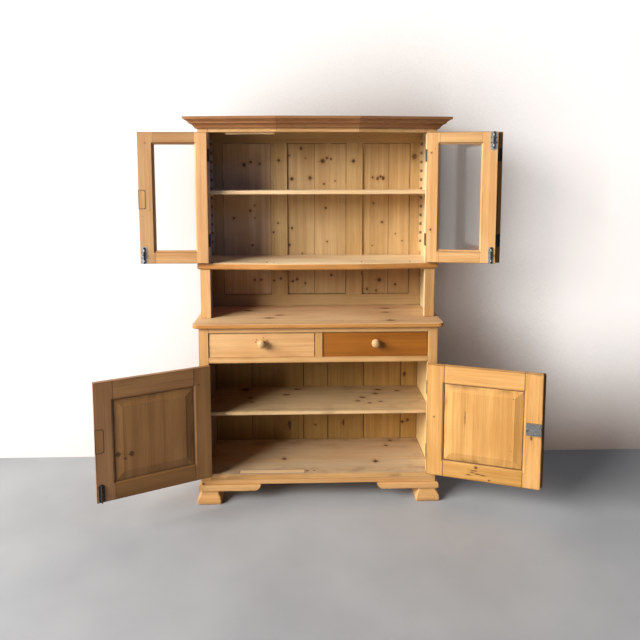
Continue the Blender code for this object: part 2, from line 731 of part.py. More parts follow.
def lower_doors(pine, iron):
    """Two framed doors with fielded panels, on two hinges each."""
    low = Z_FLOOR_TOP + DOOR_CLEARANCE_LOW
    high = Z_DOOR_HEAD - DOOR_CLEARANCE
    outer = PIN_OUT
    inner = PIN_OUT + DOOR_T
    centre = (outer + inner) / 2
    near = HINGE_GAP / 2
    far = door_width()
    groove = (centre - GROOVE_W / 2, centre + GROOVE_W / 2)
    tongue = (centre - GROOVE_W / 2 + FIT, centre + GROOVE_W / 2 - FIT)
    shoulder_near = near + DOOR_STILE_W
    shoulder_far = far - DOOR_STILE_W
    rail_reach = GROOVE_D - FIT
    panel_reach = min(PANEL_LAP, GROOVE_D - FIT)
    sight_low = low + DOOR_BOTTOM_RAIL
    sight_high = high - DOOR_TOP_RAIL

    def on_rim(point):
        ends = min(abs(abs(point.x) - near), abs(abs(point.x) - far))
        return min(ends, abs(point.z - low), abs(point.z - high)) < FIT / 2

    def chamfers(side):
        inside = (inner - DOOR_CHAMFER_D, inner)
        outside = (outer + DOOR_CHAMFER_D, outer)
        return [flare(shoulder_near, shoulder_far, sight_low, sight_high, start, end, DOOR_CHAMFER_W, side)
                for start, end in (inside, outside)]

    for side in (LEFT, RIGHT):
        name = "lower_door_" + SIDE_NAME[side] + "_"
        opened = LEFT_DOOR_OPEN if side == LEFT else RIGHT_DOOR_OPEN
        pin_at = (side * door_pin_x(), FRONT_Y - PIN_OUT, 0.0)
        swing = pivot(name + "swing", pin_at, side * math.radians(opened))
        fixed = pivot(name + "pins", pin_at)

        stiles = (("hinge_stile", near, shoulder_near, shoulder_near - GROOVE_D, shoulder_near + GROOVE_D),
                  ("meeting_stile", shoulder_far, far, shoulder_far - GROOVE_D, shoulder_far + GROOVE_D))
        for label, a, b, groove_a, groove_b in stiles:
            slot = door_block(side, groove_a, groove_b, groove[0], groove[1], low - DOOR_T, high + DOOR_T)
            piece(name + label, pine, door_block(side, a, b, outer, inner, low, high),
                  cut=(slot, *chamfers(side)), parent=swing, eased=EASED_FINE, where=on_rim)

        for label, a, b, edge in (("bottom_rail", low, sight_low, sight_low),
                                  ("top_rail", sight_high, high, sight_high)):
            body = door_block(side, shoulder_near + FIT, shoulder_far - FIT, outer, inner, a, b)
            tenon = door_block(side, shoulder_near - rail_reach, shoulder_far + rail_reach,
                               tongue[0], tongue[1], a, b)
            slot = door_block(side, near, far, groove[0], groove[1], edge - GROOVE_D, edge + GROOVE_D)
            piece(name + label, pine, body, add=(tenon,), cut=(slot, *chamfers(side)), parent=swing,
                  eased=EASED_FINE, where=on_rim)

        panel = fielded_panel(side, shoulder_near - panel_reach, shoulder_far + panel_reach,
                              sight_low - panel_reach, sight_high + panel_reach, outer, inner)
        piece(name + "panel", pine, panel, parent=swing)

        for label, z in (("lower", low + DOOR_HINGE_LOW), ("upper", high - DOOR_HINGE_HIGH)):
            hinge(name + label + "_hinge", iron, side, z, HINGE_L_DOOR, fixed)

        if side == LEFT:
            spot = (far - BOLT_EDGE, inner + BOLT_OFF + BOLT_R)
            bolt(name + "bolt", iron, spot, low, low + BOLT_L, low + BOLT_KNOB_AT, swing)
        else:
            lock_z = (low + high) / 2 + LOCK_LIFT
            body = door_block(side, far - LOCK_EDGE - LOCK_W, far - LOCK_EDGE, inner + FIT, inner + LOCK_T,
                              lock_z - LOCK_H / 2, lock_z + LOCK_H / 2)
            key_at = (-side * (far - LOCK_EDGE - LOCK_W / 2), lock_z)
            boss = rod(key_at, LOCK_BOSS_R, inner + LOCK_T / 2, inner + LOCK_T + LOCK_BOSS_OUT, "Y")
            piece(name + "lock", iron, body, add=(boss,), parent=swing)


# Glazed leaves

def leaf(name, side, pine, glass, outline, parent):
    """A leaf's frame with its bevelled glazing bead, and the pane in it; drawn from the pin."""
    low = Z_WAIST_TOP + LEAF_CLEARANCE
    high = Z_FRIEZE - LEAF_CLEARANCE
    near = outline[0][0]
    far = outline[2][0]
    sight_near = near + LEAF_HINGE_STILE_W
    sight_far = far - LEAF_FREE_STILE_W
    sight_low = low + LEAF_BOTTOM_RAIL
    sight_high = high - LEAF_TOP_RAIL
    through = at_side((sight_near, -LEAF_T, sight_low), (sight_far, 3 * LEAF_T, sight_high), side)
    lip = PIN_OUT + LEAF_LIP
    bead = lip + GLASS_T + 2 * FIT
    slot = at_side((sight_near - LEAF_REBATE, lip, sight_low - LEAF_REBATE),
                   (sight_far + LEAF_REBATE, bead, sight_high + LEAF_REBATE), side)
    slope = flare(sight_near, sight_far, sight_low, sight_high, bead, PIN_OUT + LEAF_T, GLAZING_BEAD, side)
    free = min(outline[1][0], outline[2][0])

    def on_rim(point):
        along = -side * point.x
        ends = abs(along - near) < FIT / 2 or along > free - FIT / 2
        return ends or min(abs(point.z - low), abs(point.z - high)) < FIT / 2

    piece(name + "_frame", pine, prism(mirrored(outline, side), low, high), cut=(through, slot, slope),
          parent=parent, eased=EASED_FINE, where=on_rim)
    play = LEAF_REBATE - FIT
    pane = at_side((sight_near - play, lip + FIT, sight_low - play),
                   (sight_far + play, lip + FIT + GLASS_T, sight_high + play), side)
    piece(name + "_glass", glass, pane, parent=parent)


def glazed_leaves(pine, glass, iron):
    """The left leaf, the right leaf and the centre leaf that hangs on the right one."""
    outer = PIN_OUT
    inner = PIN_OUT + LEAF_T
    near = HINGE_GAP / 2
    pin_along = HUTCH_STILE_W + HINGE_GAP / 2
    free_outer = leaf_free_edge(0.0) - pin_along
    free_inner = leaf_free_edge(LEAF_T) - pin_along
    outline = [(near, outer), (free_outer, outer), (free_inner, inner), (near, inner)]
    low = Z_WAIST_TOP + LEAF_CLEARANCE
    high = Z_FRIEZE - LEAF_CLEARANCE
    heights = (("lower", low + LEAF_HINGE_IN), ("upper", high - LEAF_HINGE_IN))
    pin_left = facet_point(pin_along, -PIN_OUT)
    spot = (free_outer - BOLT_EDGE, inner + BOLT_OFF + BOLT_R)
    swings = {}
    for side in (LEFT, RIGHT):
        name = "leaf_" + SIDE_NAME[side]
        opened = LEFT_LEAF_OPEN if side == LEFT else RIGHT_LEAF_OPEN
        pin_at = (-side * pin_left[0], pin_left[1], 0.0)
        swing = pivot(name + "_swing", pin_at, side * (CANT + math.radians(opened)))
        fixed = pivot(name + "_pins", pin_at, side * CANT)
        swings[side] = (swing, pin_at)
        leaf(name, side, pine, glass, outline, swing)
        for label, z in heights:
            hinge(name + "_" + label + "_hinge", iron, side, z, HINGE_L_LEAF, fixed)
        bolt_at = (-side * spot[0], spot[1])
        bolt(name + "_bottom_bolt", iron, bolt_at, low, low + BOLT_L, low + BOLT_KNOB_AT, swing)
        if side == RIGHT:
            bolt(name + "_top_bolt", iron, bolt_at, high - BOLT_L, high, high - BOLT_KNOB_AT, swing)

    # The centre leaf's pin stands on the right-hand crease; it is placed in the closed right leaf's frame
    swing, pin_at = swings[RIGHT]
    closed = Vector((CREASE_X, CREASE_Y - PIN_OUT, 0.0)) - Vector(pin_at)
    place = Matrix.Rotation(-CANT, 3, "Z") @ closed
    turn = math.radians(CENTRE_LEAF_OPEN) - CANT
    centre_swing = pivot("leaf_centre_swing", place, turn, swing)
    centre_fixed = pivot("leaf_centre_pins", place, -CANT, swing)
    width = 2 * CREASE_X - MEETING_GAP / 2
    outline = [(near, outer), (width, outer), (width, inner), (near, inner)]
    leaf("leaf_centre", RIGHT, pine, glass, outline, centre_swing)
    for label, z in heights:
        hinge("leaf_centre_" + label + "_hinge", iron, RIGHT, z, HINGE_L_LEAF, centre_fixed)


# The hutch

def rack(front_edge, faces_back, side):
    """A saw-toothed shelf rack standing against a hutch side."""
    low = Z_WAIST_TOP + RACK_W
    high = Z_FRIEZE - RACK_W
    sign = 1 if faces_back else -1
    plain = front_edge if faces_back else front_edge + RACK_W
    toothed = plain + sign * RACK_W
    outline = [(plain, low), (toothed, low)]
    z = low + RACK_PITCH
    while z + RACK_NOTCH_H < high:
        outline += [(toothed, z), (toothed - sign * RACK_NOTCH, z), (toothed, z + RACK_NOTCH_H)]
        z += RACK_PITCH
    outline += [(toothed, high), (plain, high)]
    a = side * (INNER_HUTCH - RACK_T)
    b = side * (INNER_HUTCH + FIT)
    return prism(outline, min(a, b), max(a, b), "X")


def hutch_sides(pine):
    """Side boards with their canted stiles, shelf racks and shelf bars."""
    rack_front = HUTCH_Y + HUTCH_STILE_T + RACK_SETBACK
    rack_back = HUTCH_BACK_Y - FIT - RACK_W
    bar_top = HUTCH_SHELF_TOP - HUTCH_SHELF_T - FIT

    def on_front_stile(point):
        return point.y < HUTCH_Y + FIT / 2

    for side in (LEFT, RIGHT):
        body = prism(hutch_side_outline(side), Z_COUNTER_TOP + FIT, Z_HUTCH_TOP)
        front = rack(rack_front, True, side)
        back = rack(rack_back, False, side)
        bar = at_side((-INNER_HUTCH - FIT, rack_front + RACK_W / 2, bar_top - SHELF_BAR_H),
                      (-INNER_HUTCH + RACK_T + FIT, rack_back + RACK_W / 2, bar_top), side)
        piece("hutch_side_" + SIDE_NAME[side], pine, body, add=(front, back, bar), eased=EASED_FINE,
              where=on_front_stile)


def hutch_shelf(pine):
    """The shelf, notched at its corners round the racks."""
    half = INNER_HUTCH - FIT
    notched = INNER_HUTCH - RACK_T - 2 * FIT
    front = HUTCH_Y + HUTCH_SHELF_SETBACK
    back = HUTCH_BACK_Y - FIT
    past_front = HUTCH_Y + HUTCH_STILE_T + RACK_SETBACK + RACK_W + FIT
    past_back = back - RACK_W - 2 * FIT
    left = [(-notched, front), (-notched, past_front), (-half, past_front), (-half, past_back),
            (-notched, past_back), (-notched, back)]
    outline = left + [(-x, y) for x, y in reversed(left)]
    piece("hutch_shelf", pine, prism(outline, HUTCH_SHELF_TOP - HUTCH_SHELF_T, HUTCH_SHELF_TOP),
          eased=EASED)


def waist_board(pine):
    """The hutch's floor board, with a rounded moulding carried round the stiles and sides."""
    path = hutch_round_path()
    rounded = WAIST_ROUND
    profile = arc((WAIST_OVERHANG - rounded, Z_WAIST + rounded), (rounded, rounded), -90, 0, 3)
    profile += arc((WAIST_OVERHANG - rounded, Z_WAIST_TOP - rounded), (rounded, rounded), 0, 90, 3)
    board = skin([[(x, y, z) for x, y in offset_path(path, out)] for out, z in profile])
    back = HUTCH_BACK_Y - FIT
    slots = [prism(hutch_side_outline(side, FIT), Z_WAIST - WAIST_T, Z_WAIST_TOP + WAIST_T)
             for side in (LEFT, RIGHT)]
    behind = block((-INNER_HUTCH - FIT, back, Z_WAIST - WAIST_T),
                   (INNER_HUTCH + FIT, BACK_Y + BACK_T, Z_WAIST_TOP + WAIST_T))
    holes = []
    for side in (LEFT, RIGHT):
        x, y = leaf_bolt_point()
        holes.append(rod((-side * x, y), BOLT_HOLE_R, Z_WAIST_TOP - BOLT_HOLE_D, Z_WAIST_TOP + WAIST_T))
    piece("waist_board", pine, board, cut=(*slots, behind, *holes))


def hutch_back(pine):
    """A framed back with three panels let in from behind."""
    half = INNER_HUTCH - FIT
    low = Z_COUNTER_TOP + FIT
    high = Z_HUTCH_TOP - FIT
    front = HUTCH_BACK_Y
    rear = HUTCH_BACK_Y + HUTCH_BACK_T
    sight_low = low + BACK_BOTTOM_RAIL
    sight_high = high - BACK_TOP_RAIL
    inner = BACK_MUNTIN_X - BACK_MUNTIN_W / 2
    outer = BACK_MUNTIN_X + BACK_MUNTIN_W / 2
    edge = half - BACK_STILE
    lights = (("left", -edge, -outer), ("centre", -inner, inner), ("right", outer, edge))
    shelf_of_rebate = rear - BACK_PANEL_T - FIT
    cuts = []
    for label, a, b in lights:
        cuts.append(block((a, front - BACK_T, sight_low), (b, rear + BACK_T, sight_high)))
        cuts.append(block((a - BACK_REBATE, shelf_of_rebate, sight_low - BACK_REBATE),
                          (b + BACK_REBATE, rear + BACK_T, sight_high + BACK_REBATE)))
        lap = BACK_REBATE - FIT
        piece("hutch_back_panel_" + label, pine,
              block((a - lap, rear - BACK_PANEL_T, sight_low - lap), (b + lap, rear, sight_high + lap)))
    piece("hutch_back_frame", pine, block((-half, front, low), (half, rear, high)), cut=cuts)


def hutch_head(pine):
    """The canted frieze rail with its stop strip, the top board, and the mitred cornice."""
    start = facet_point(HUTCH_STILE_W + FIT, 0.0)
    crease = (-CREASE_X, CREASE_Y)
    front = [start, crease, (-crease[0], crease[1]), (-start[0], start[1])]
    outline = front + list(reversed(offset_path(front, -FRIEZE_T)))
    stop_front = LEAF_T + 2 * FIT
    stop_end = leaf_free_edge(LEAF_T) - STOP_END
    strip = [facet_point(STOP_START, stop_front), facet_point(stop_end, stop_front),
             facet_point(stop_end, stop_front + STOP_W), facet_point(STOP_START, stop_front + STOP_W)]
    stop = prism(strip, Z_FRIEZE - STOP_H, Z_FRIEZE + STOP_H)
    x, y = leaf_bolt_point()
    hole = rod((-x, y), BOLT_HOLE_R, Z_FRIEZE - BOLT_HOLE_D, Z_FRIEZE + BOLT_HOLE_D)
    piece("frieze_rail", pine, prism(outline, Z_FRIEZE, Z_HUTCH_TOP), add=(stop,), cut=(hole,))

    path = hutch_round_path()
    top = Z_HUTCH_TOP + TOP_BOARD_T
    piece("hutch_top", pine, prism(path, Z_HUTCH_TOP + FIT, top))

    # From the bottom up: the soffit, the main cove, a step, an ogee and the lip
    cove_end = (CORNICE_SOFFIT + CORNICE_COVE_OUT, Z_CORNICE + CORNICE_COVE_H)
    step_z = cove_end[1] + CORNICE_FILLET_H
    step_out = cove_end[0] + CORNICE_STEP
    ogee_low = (step_out, step_z + CORNICE_FILLET_H)
    ogee_high = (step_out + CORNICE_OGEE_OUT, top - CORNICE_LIP_H)
    ogee_middle = ((ogee_low[0] + ogee_high[0]) / 2, (ogee_low[1] + ogee_high[1]) / 2)
    lip_out = ogee_high[0] + CORNICE_LIP_UNDER
    profile = [(FIT, Z_CORNICE)]
    profile += bowed((CORNICE_SOFFIT, Z_CORNICE), cove_end, CORNICE_COVE_BOW, 6)
    profile += [(cove_end[0], step_z), (step_out, step_z)]
    profile += bowed(ogee_low, ogee_middle, CORNICE_OGEE_BOW, 3)
    profile += bowed(ogee_middle, ogee_high, -CORNICE_OGEE_BOW, 3)[1:]
    profile += [(lip_out, ogee_high[1]), (lip_out + CORNICE_LIP_LEAN, top), (FIT, top)]
    piece("cornice", pine, moulding(path, profile))


def build():
    """Make every piece of the cupboard."""
    clear_scene()
    pine = finish("old_pine", (0.62, 0.37, 0.15), 0.55)
    orange_pine = finish("drawer_pine", (0.60, 0.30, 0.09), 0.5)
    knob_pine = finish("knob_pine", (0.74, 0.50, 0.26), 0.5)
    iron = finish("dark_iron", (0.06, 0.055, 0.05), 0.5, 0.8)
    glass = finish("window_glass", (0.80, 0.85, 0.84), 0.05)
    base_sides(pine)
    base_boards(pine)
    counter(pine)
    front_feet(pine)
    drawers(pine, orange_pine, knob_pine)
    lower_doors(pine, iron)
    hutch_sides(pine)
    hutch_shelf(pine)
    waist_board(pine)
    hutch_back(pine)
    hutch_head(pine)
    glazed_leaves(pine, glass, iron)


build()
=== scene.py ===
"""An old pine dresser with its doors open: a base with two drawers, and a glazed hutch with a canted front.

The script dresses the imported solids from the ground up, in the order in which the piece is put together.
Metres, Z up, X to the right and Y to the back.
"""
import json
import math

import bmesh
import bpy
from mathutils import Matrix, Vector


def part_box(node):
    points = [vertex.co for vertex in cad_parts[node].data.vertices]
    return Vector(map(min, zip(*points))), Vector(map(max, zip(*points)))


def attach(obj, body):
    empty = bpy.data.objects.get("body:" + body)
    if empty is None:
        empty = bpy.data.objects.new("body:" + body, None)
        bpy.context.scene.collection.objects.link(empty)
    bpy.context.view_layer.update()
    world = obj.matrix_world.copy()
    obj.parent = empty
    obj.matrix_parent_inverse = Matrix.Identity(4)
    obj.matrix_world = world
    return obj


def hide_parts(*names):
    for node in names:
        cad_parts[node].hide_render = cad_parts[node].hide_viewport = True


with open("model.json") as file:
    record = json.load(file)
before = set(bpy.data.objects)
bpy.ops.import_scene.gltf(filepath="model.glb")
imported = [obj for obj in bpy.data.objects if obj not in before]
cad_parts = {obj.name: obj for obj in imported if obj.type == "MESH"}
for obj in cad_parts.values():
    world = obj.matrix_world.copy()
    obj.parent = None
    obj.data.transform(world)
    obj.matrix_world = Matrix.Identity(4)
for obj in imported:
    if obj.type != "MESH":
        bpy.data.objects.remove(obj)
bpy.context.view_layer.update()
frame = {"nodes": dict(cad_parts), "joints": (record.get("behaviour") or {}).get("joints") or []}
nodes = frame["nodes"]

# The base: sides, floor, shelf, rails and divider are boards of old pine, sawn through and through, glued
# and pegged, then waxed.  Every board is its own cut, so the figure runs along it and starts elsewhere.

HONEY = ((0.690, 0.398, 0.158), (0.540, 0.272, 0.090), (0.420, 0.188, 0.052))
KNOT_HEART = (0.050, 0.020, 0.010)
KNOT_HALO = (0.300, 0.118, 0.034)
# The dark of grime, which also paints shade in gaps, grooves, notches and recesses
GRIME_AND_SHADE = (0.110, 0.052, 0.022)
# The pale of dust, which on upward faces also paints the sheen of the light
DUST_AND_SHEEN = (0.800, 0.635, 0.380)


def fill(tree, node, inputs):
    """Joins or fills a node's sockets."""
    for key, value in inputs.items():
        if isinstance(value, bpy.types.NodeSocket):
            tree.links.new(value, node.inputs[key])
        else:
            node.inputs[key].default_value = value


def add(tree, kind, inputs=None, **settings):
    """A new node with its settings made and its sockets joined or filled."""
    made = tree.nodes.new(kind)
    for key, value in settings.items():
        setattr(made, key, value)
    fill(tree, made, inputs or {})
    return made


def calc(tree, operation, *values, clamp=False):
    """The result of a Math node on sockets and numbers."""
    made = add(tree, "ShaderNodeMath", dict(enumerate(values)), operation=operation, use_clamp=clamp)
    return made.outputs[0]


def times(tree, a, b, clamp=False):
    """One value times another."""
    return calc(tree, "MULTIPLY", a, b, clamp=clamp)


def linear(tree, value, slope, start):
    """A value times a slope, plus a start."""
    return calc(tree, "MULTIPLY_ADD", value, slope, start)


def vector_math(tree, operation, *vectors, **scale):
    """The vector that a Vector Math node makes."""
    made = add(tree, "ShaderNodeVectorMath", {**dict(enumerate(vectors)), **scale}, operation=operation)
    return made.outputs[0]


def split(tree, vector):
    """The X, Y and Z of a vector."""
    return add(tree, "ShaderNodeSeparateXYZ", {0: vector}).outputs


def fade(tree, value, start, end):
    """A smooth step from 0 at start to 1 at end."""
    made = add(tree, "ShaderNodeMapRange", {"Value": value, "From Min": start, "From Max": end},
               interpolation_type="SMOOTHSTEP")
    return made.outputs["Result"]


def tint(tree, factor, a, b, kind="MIX"):
    """Two colours mixed by a factor."""
    made = add(tree, "ShaderNodeMix", {0: factor, 6: a, 7: b}, data_type="RGBA", blend_type=kind)
    return made.outputs[2]


def toned(tree, colour, shade):
    """A colour times a grey."""
    grey = add(tree, "ShaderNodeCombineXYZ", {0: shade, 1: shade, 2: shade}).outputs[0]
    return tint(tree, 1.0, colour, grey, "MULTIPLY")


def stretched_noise(tree, vector, stretch, detail):
    """Noise drawn out along the board; stretch is its cycles to the metre across, through and along."""
    scaled = vector_math(tree, "MULTIPLY", vector, stretch)
    made = add(tree, "ShaderNodeTexNoise", {"Vector": scaled, "Scale": 1.0, "Detail": detail})
    return made.outputs["Fac"]


def new_group(name, inputs, outputs):
    """An empty shader group with named sockets; returns its tree, its input node and its output node."""
    tree = bpy.data.node_groups.new(name, "ShaderNodeTree")
    kinds = {1: "NodeSocketFloat", 3: "NodeSocketVector", 4: "NodeSocketColor"}
    for label, value in inputs.items():
        size = len(value) if isinstance(value, tuple) else 1
        tree.interface.new_socket(label, in_out="INPUT", socket_type=kinds[size]).default_value = value
    for label, size in outputs.items():
        tree.interface.new_socket(label, in_out="OUTPUT", socket_type=kinds[size])
    return tree, tree.nodes.new("NodeGroupInput"), tree.nodes.new("NodeGroupOutput")


def pine_figure_group():
    """The figure of a pine board, which has X across, Y through and Z along it, with dirt and painted shade
    at the rims of its faces.
    """
    tree, given, result = new_group(
        "pine_figure",
        {"Vector": (0.0, 0.0, 0.0), "Facing": (0.0, 1.0, 0.0), "Rim": (0.1, 0.01, 0.3), "Seed": 0.0,
         "Ring": 0.005, "Arch": 0.0, "Small knots": 0.0, "Knot": 0.0, "Swirl": 0.0, "Soil": 0.5,
         "Reach": 0.012, "Dust": 0.0, "Up": 0.0, "Bleach": (*DUST_AND_SHEEN, 1.0), "Pale": (*HONEY[0], 1.0),
         "Deep": (*HONEY[1], 1.0), "Late": (*HONEY[2], 1.0)},
        {"Colour": 4, "Roughness": 1, "Height": 1})
    get = given.outputs
    shift = vector_math(tree, "SCALE", (1.37, 0.73, 2.11), Scale=get["Seed"])
    place = vector_math(tree, "ADD", get["Vector"], shift)
    axes = split(tree, get["Vector"])

    def scattered(cells, smallest, spread, share):
        """Spots, at most one to a cell of a net: how far off in radii, and whether the cell holds one."""
        net = vector_math(tree, "MULTIPLY", place, cells)
        cell = add(tree, "ShaderNodeTexVoronoi", {"Vector": net, "Scale": 1.0}, voronoi_dimensions="3D")
        chance = split(tree, cell.outputs["Color"])
        size = linear(tree, chance[1], spread, smallest)
        return calc(tree, "DIVIDE", cell.outputs["Distance"], size), calc(tree, "LESS_THAN", chance[0], share)

    off, there = scattered((8.0, 1.0, 5.5), 0.022, 0.045, get["Small knots"])
    knot = calc(tree, "MAXIMUM", times(tree, fade(tree, off, 1.15, 0.75), there), get["Knot"])
    swirl = calc(tree, "MAXIMUM", times(tree, fade(tree, off, 4.5, 0.0), there), get["Swirl"])
    off, there = scattered((26.0, 1.5, 18.0), 0.022, 0.042, 0.36)
    speck = times(tree, fade(tree, off, 1.3, 0.6), there)

    # Rings round a heart: it lies beside a straight-grained board, and behind an arched one
    wander = stretched_noise(tree, place, (0.0, 0.0, 0.5), 0.0)
    beside = linear(tree, wander, 0.10, 0.20)
    behind = linear(tree, wander, 0.24, -0.12)
    heart = add(tree, "ShaderNodeMix", {0: get["Arch"], 2: beside, 3: behind}).outputs[0]
    depth = times(tree, stretched_noise(tree, place, (0.0, 0.0, 1.3), 1.0), 0.15)
    waver = linear(tree, stretched_noise(tree, place, (7.0, 4.0, 1.6), 2.0), 0.030, -0.015)
    across = calc(tree, "ADD", calc(tree, "ADD", axes[0], heart), waver)
    through = calc(tree, "ADD", axes[1], depth)
    reach = calc(tree, "SQRT", calc(tree, "ADD", times(tree, across, across),
                                    times(tree, through, through)))
    turns = calc(tree, "DIVIDE", linear(tree, swirl, 0.020, reach), get["Ring"])
    ring = calc(tree, "FRACT", turns)
    late = times(tree, calc(tree, "POWER", ring, 3.0), fade(tree, ring, 1.0, 0.93))

    streak = stretched_noise(tree, place, (42.0, 12.0, 1.0), 5.0)
    blotch = stretched_noise(tree, place, (7.0, 5.0, 2.4), 3.0)
    fine = stretched_noise(tree, place, (150.0, 60.0, 2.2), 3.0)
    fibre = stretched_noise(tree, place, (650.0, 420.0, 13.0), 2.0)
    pore = fade(tree, stretched_noise(tree, place, (380.0, 200.0, 8.0), 2.0), 0.58, 0.74)
    broad = linear(tree, blotch, 0.5, times(tree, streak, 0.5))
    broad = fade(tree, broad, 0.34, 0.66)
    colour = tint(tree, broad, get["Pale"], get["Deep"])
    line = times(tree, late, linear(tree, broad, 0.30, 0.34))
    colour = tint(tree, line, colour, get["Late"])
    shade = linear(tree, fine, 0.38, linear(tree, fibre, 0.24, 0.71))
    shade = linear(tree, pore, -0.20, shade)

    # Years of dust and scrubbing have bleached what faces upward, or was never waxed, in streaks; the paler
    # tops also paint the sheen of the light on them, and the colours given for the insides of the left sides
    # paint the shade they stand in
    upward = times(tree, fade(tree, get["Up"], 0.4, 0.9), get["Dust"])
    patchy = linear(tree, broad, -0.45, 1.0)
    colour = toned(tree, tint(tree, times(tree, upward, patchy), colour, get["Bleach"]), shade)
    halo = times(tree, calc(tree, "POWER", swirl, 3.0), 0.45)
    colour = tint(tree, halo, colour, (*KNOT_HALO, 1.0))
    dark = calc(tree, "MAXIMUM", times(tree, knot, 0.93), times(tree, speck, 0.75))
    colour = tint(tree, dark, colour, (*KNOT_HEART, 1.0))

    # A thin dark line along the rims of each face is partly dirt and partly painted shade in the gaps and
    # grooves there, and dirt has spread from there in patches
    plain = vector_math(tree, "ABSOLUTE", get["Vector"])
    room = vector_math(tree, "SUBTRACT", get["Rim"], plain)
    turned = vector_math(tree, "ABSOLUTE", get["Facing"])
    turned = vector_math(tree, "ADD", turned, (0.3, 0.3, 0.3))
    square_to = vector_math(tree, "FLOOR", turned)
    room = vector_math(tree, "ADD", room, square_to)
    rooms = split(tree, room)
    edge = calc(tree, "MINIMUM", calc(tree, "MINIMUM", rooms[0], rooms[1]), rooms[2])
    worn = stretched_noise(tree, place, (14.0, 14.0, 9.0), 3.0)
    spread = fade(tree, calc(tree, "DIVIDE", edge, get["Reach"]), 1.0, 0.0)
    spread = times(tree, spread, fade(tree, worn, 0.42, 0.80))
    thin = times(tree, fade(tree, edge, 0.0042, 0.0006), fade(tree, worn, 0.20, 0.50))
    soil = calc(tree, "MAXIMUM", times(tree, spread, 0.8), times(tree, thin, 1.3))
    soil = times(tree, soil, get["Soil"], clamp=True)
    colour = tint(tree, soil, colour, (*GRIME_AND_SHADE, 1.0))

    rough = linear(tree, fibre, 0.20, linear(tree, late, 0.08, 0.38))
    rough = linear(tree, upward, 0.10, rough)
    height = calc(tree, "SUBTRACT", times(tree, fibre, 0.40), times(tree, pore, 0.30))
    fill(tree, result, {"Colour": colour, "Roughness": rough, "Height": height})
    return tree


def knot_group():
    """One ragged knot or mark: a dark heart with a crack across it, and the swirl of the rings round it."""
    tree, given, result = new_group(
        "pine_knot",
        {"Vector": (0.0, 0.0, 0.0), "Centre": (0.0, 0.0, 0.0), "Radius": 0.01, "Length": 1.2, "Knot": 0.0,
         "Swirl": 0.0},
        {"Knot": 1, "Swirl": 1})
    get = given.outputs
    away = vector_math(tree, "SUBTRACT", get["Vector"], get["Centre"])
    x, _, z = split(tree, away)
    lump = stretched_noise(tree, get["Vector"], (70.0, 1.0, 70.0), 2.0)
    ragged = stretched_noise(tree, get["Vector"], (260.0, 1.0, 200.0), 2.0)
    spot = {"Vector": get["Centre"], "Scale": 37.0, "Detail": 0.0}
    own = add(tree, "ShaderNodeTexNoise", spot).outputs["Fac"]
    flat = add(tree, "ShaderNodeCombineXYZ", {0: x, 2: calc(tree, "DIVIDE", z, get["Length"])}).outputs[0]
    length = add(tree, "ShaderNodeVectorMath", {0: flat}, operation="LENGTH").outputs["Value"]
    bent = linear(tree, lump, 0.9, linear(tree, ragged, 0.7, 0.25))
    share = calc(tree, "DIVIDE", times(tree, length, bent), get["Radius"])
    heart = fade(tree, share, 1.15, 0.62)
    crook = linear(tree, calc(tree, "SUBTRACT", lump, 0.5), get["Radius"], z)
    thin = calc(tree, "DIVIDE", calc(tree, "ABSOLUTE", crook), get["Radius"])
    wide = calc(tree, "DIVIDE", calc(tree, "ABSOLUTE", x), get["Radius"])
    crack = times(tree, fade(tree, thin, 0.38, 0.05), fade(tree, wide, 3.2, 1.0))
    crack = times(tree, crack, fade(tree, own, 0.42, 0.60))
    dark = calc(tree, "MAXIMUM", heart, times(tree, crack, 0.6))
    dark = times(tree, dark, linear(tree, fade(tree, own, 0.30, 0.65), 0.25, 0.75))
    swirl = calc(tree, "MAXIMUM", get["Swirl"], fade(tree, share, 4.5, 0.0))
    fill(tree, result, {"Knot": calc(tree, "MAXIMUM", get["Knot"], dark), "Swirl": swirl})
    return tree


PINE_FIGURE = pine_figure_group()
PINE_KNOT = knot_group()
AXIS = {"X": Vector((1, 0, 0)), "Y": Vector((0, 1, 0)), "Z": Vector((0, 0, 1))}


def cut_of_board(obj, along, turn=0.0):
    """How a board's own axes lie: the rotation from the model to the board, its middle and its half size."""
    unturn = Matrix.Rotation(-turn, 3, "Z")
    points = [unturn @ v.co for v in obj.data.vertices]
    low = Vector([min(p[i] for p in points) for i in range(3)])
    high = Vector([max(p[i] for p in points) for i in range(3)])
    size = high - low
    others = sorted((name for name in AXIS if name != along), key=lambda name: size["XYZ".index(name)])
    through, across = AXIS[others[0]], AXIS[others[1]]
    rows = Matrix((across, through, AXIS[along]))
    if rows.determinant() < 0:
        rows = Matrix((across, -through, AXIS[along]))
    return rows @ unturn, rows @ ((low + high) / 2), Vector([abs(v) for v in rows @ (size / 2)])


def board_vectors(tree, coords, rotation, middle):
    """Object coordinates turned and centred on a board, and the way its faces look, turned alike."""
    turn = rotation.to_euler("XYZ")
    place = add(tree, "ShaderNodeMapping",
                {"Vector": coords["Object"], "Location": -middle, "Rotation": turn}, vector_type="POINT")
    facing = add(tree, "ShaderNodeMapping", {"Vector": coords["Normal"], "Rotation": turn},
                 vector_type="VECTOR")
    return place.outputs["Vector"], facing.outputs["Vector"]


def shaded(colour, tone):
    """A colour made lighter or darker, with the blue moving more than the red."""
    return tuple(c * tone ** p for c, p in zip(colour, (0.85, 1.0, 1.8))) + (1.0,)


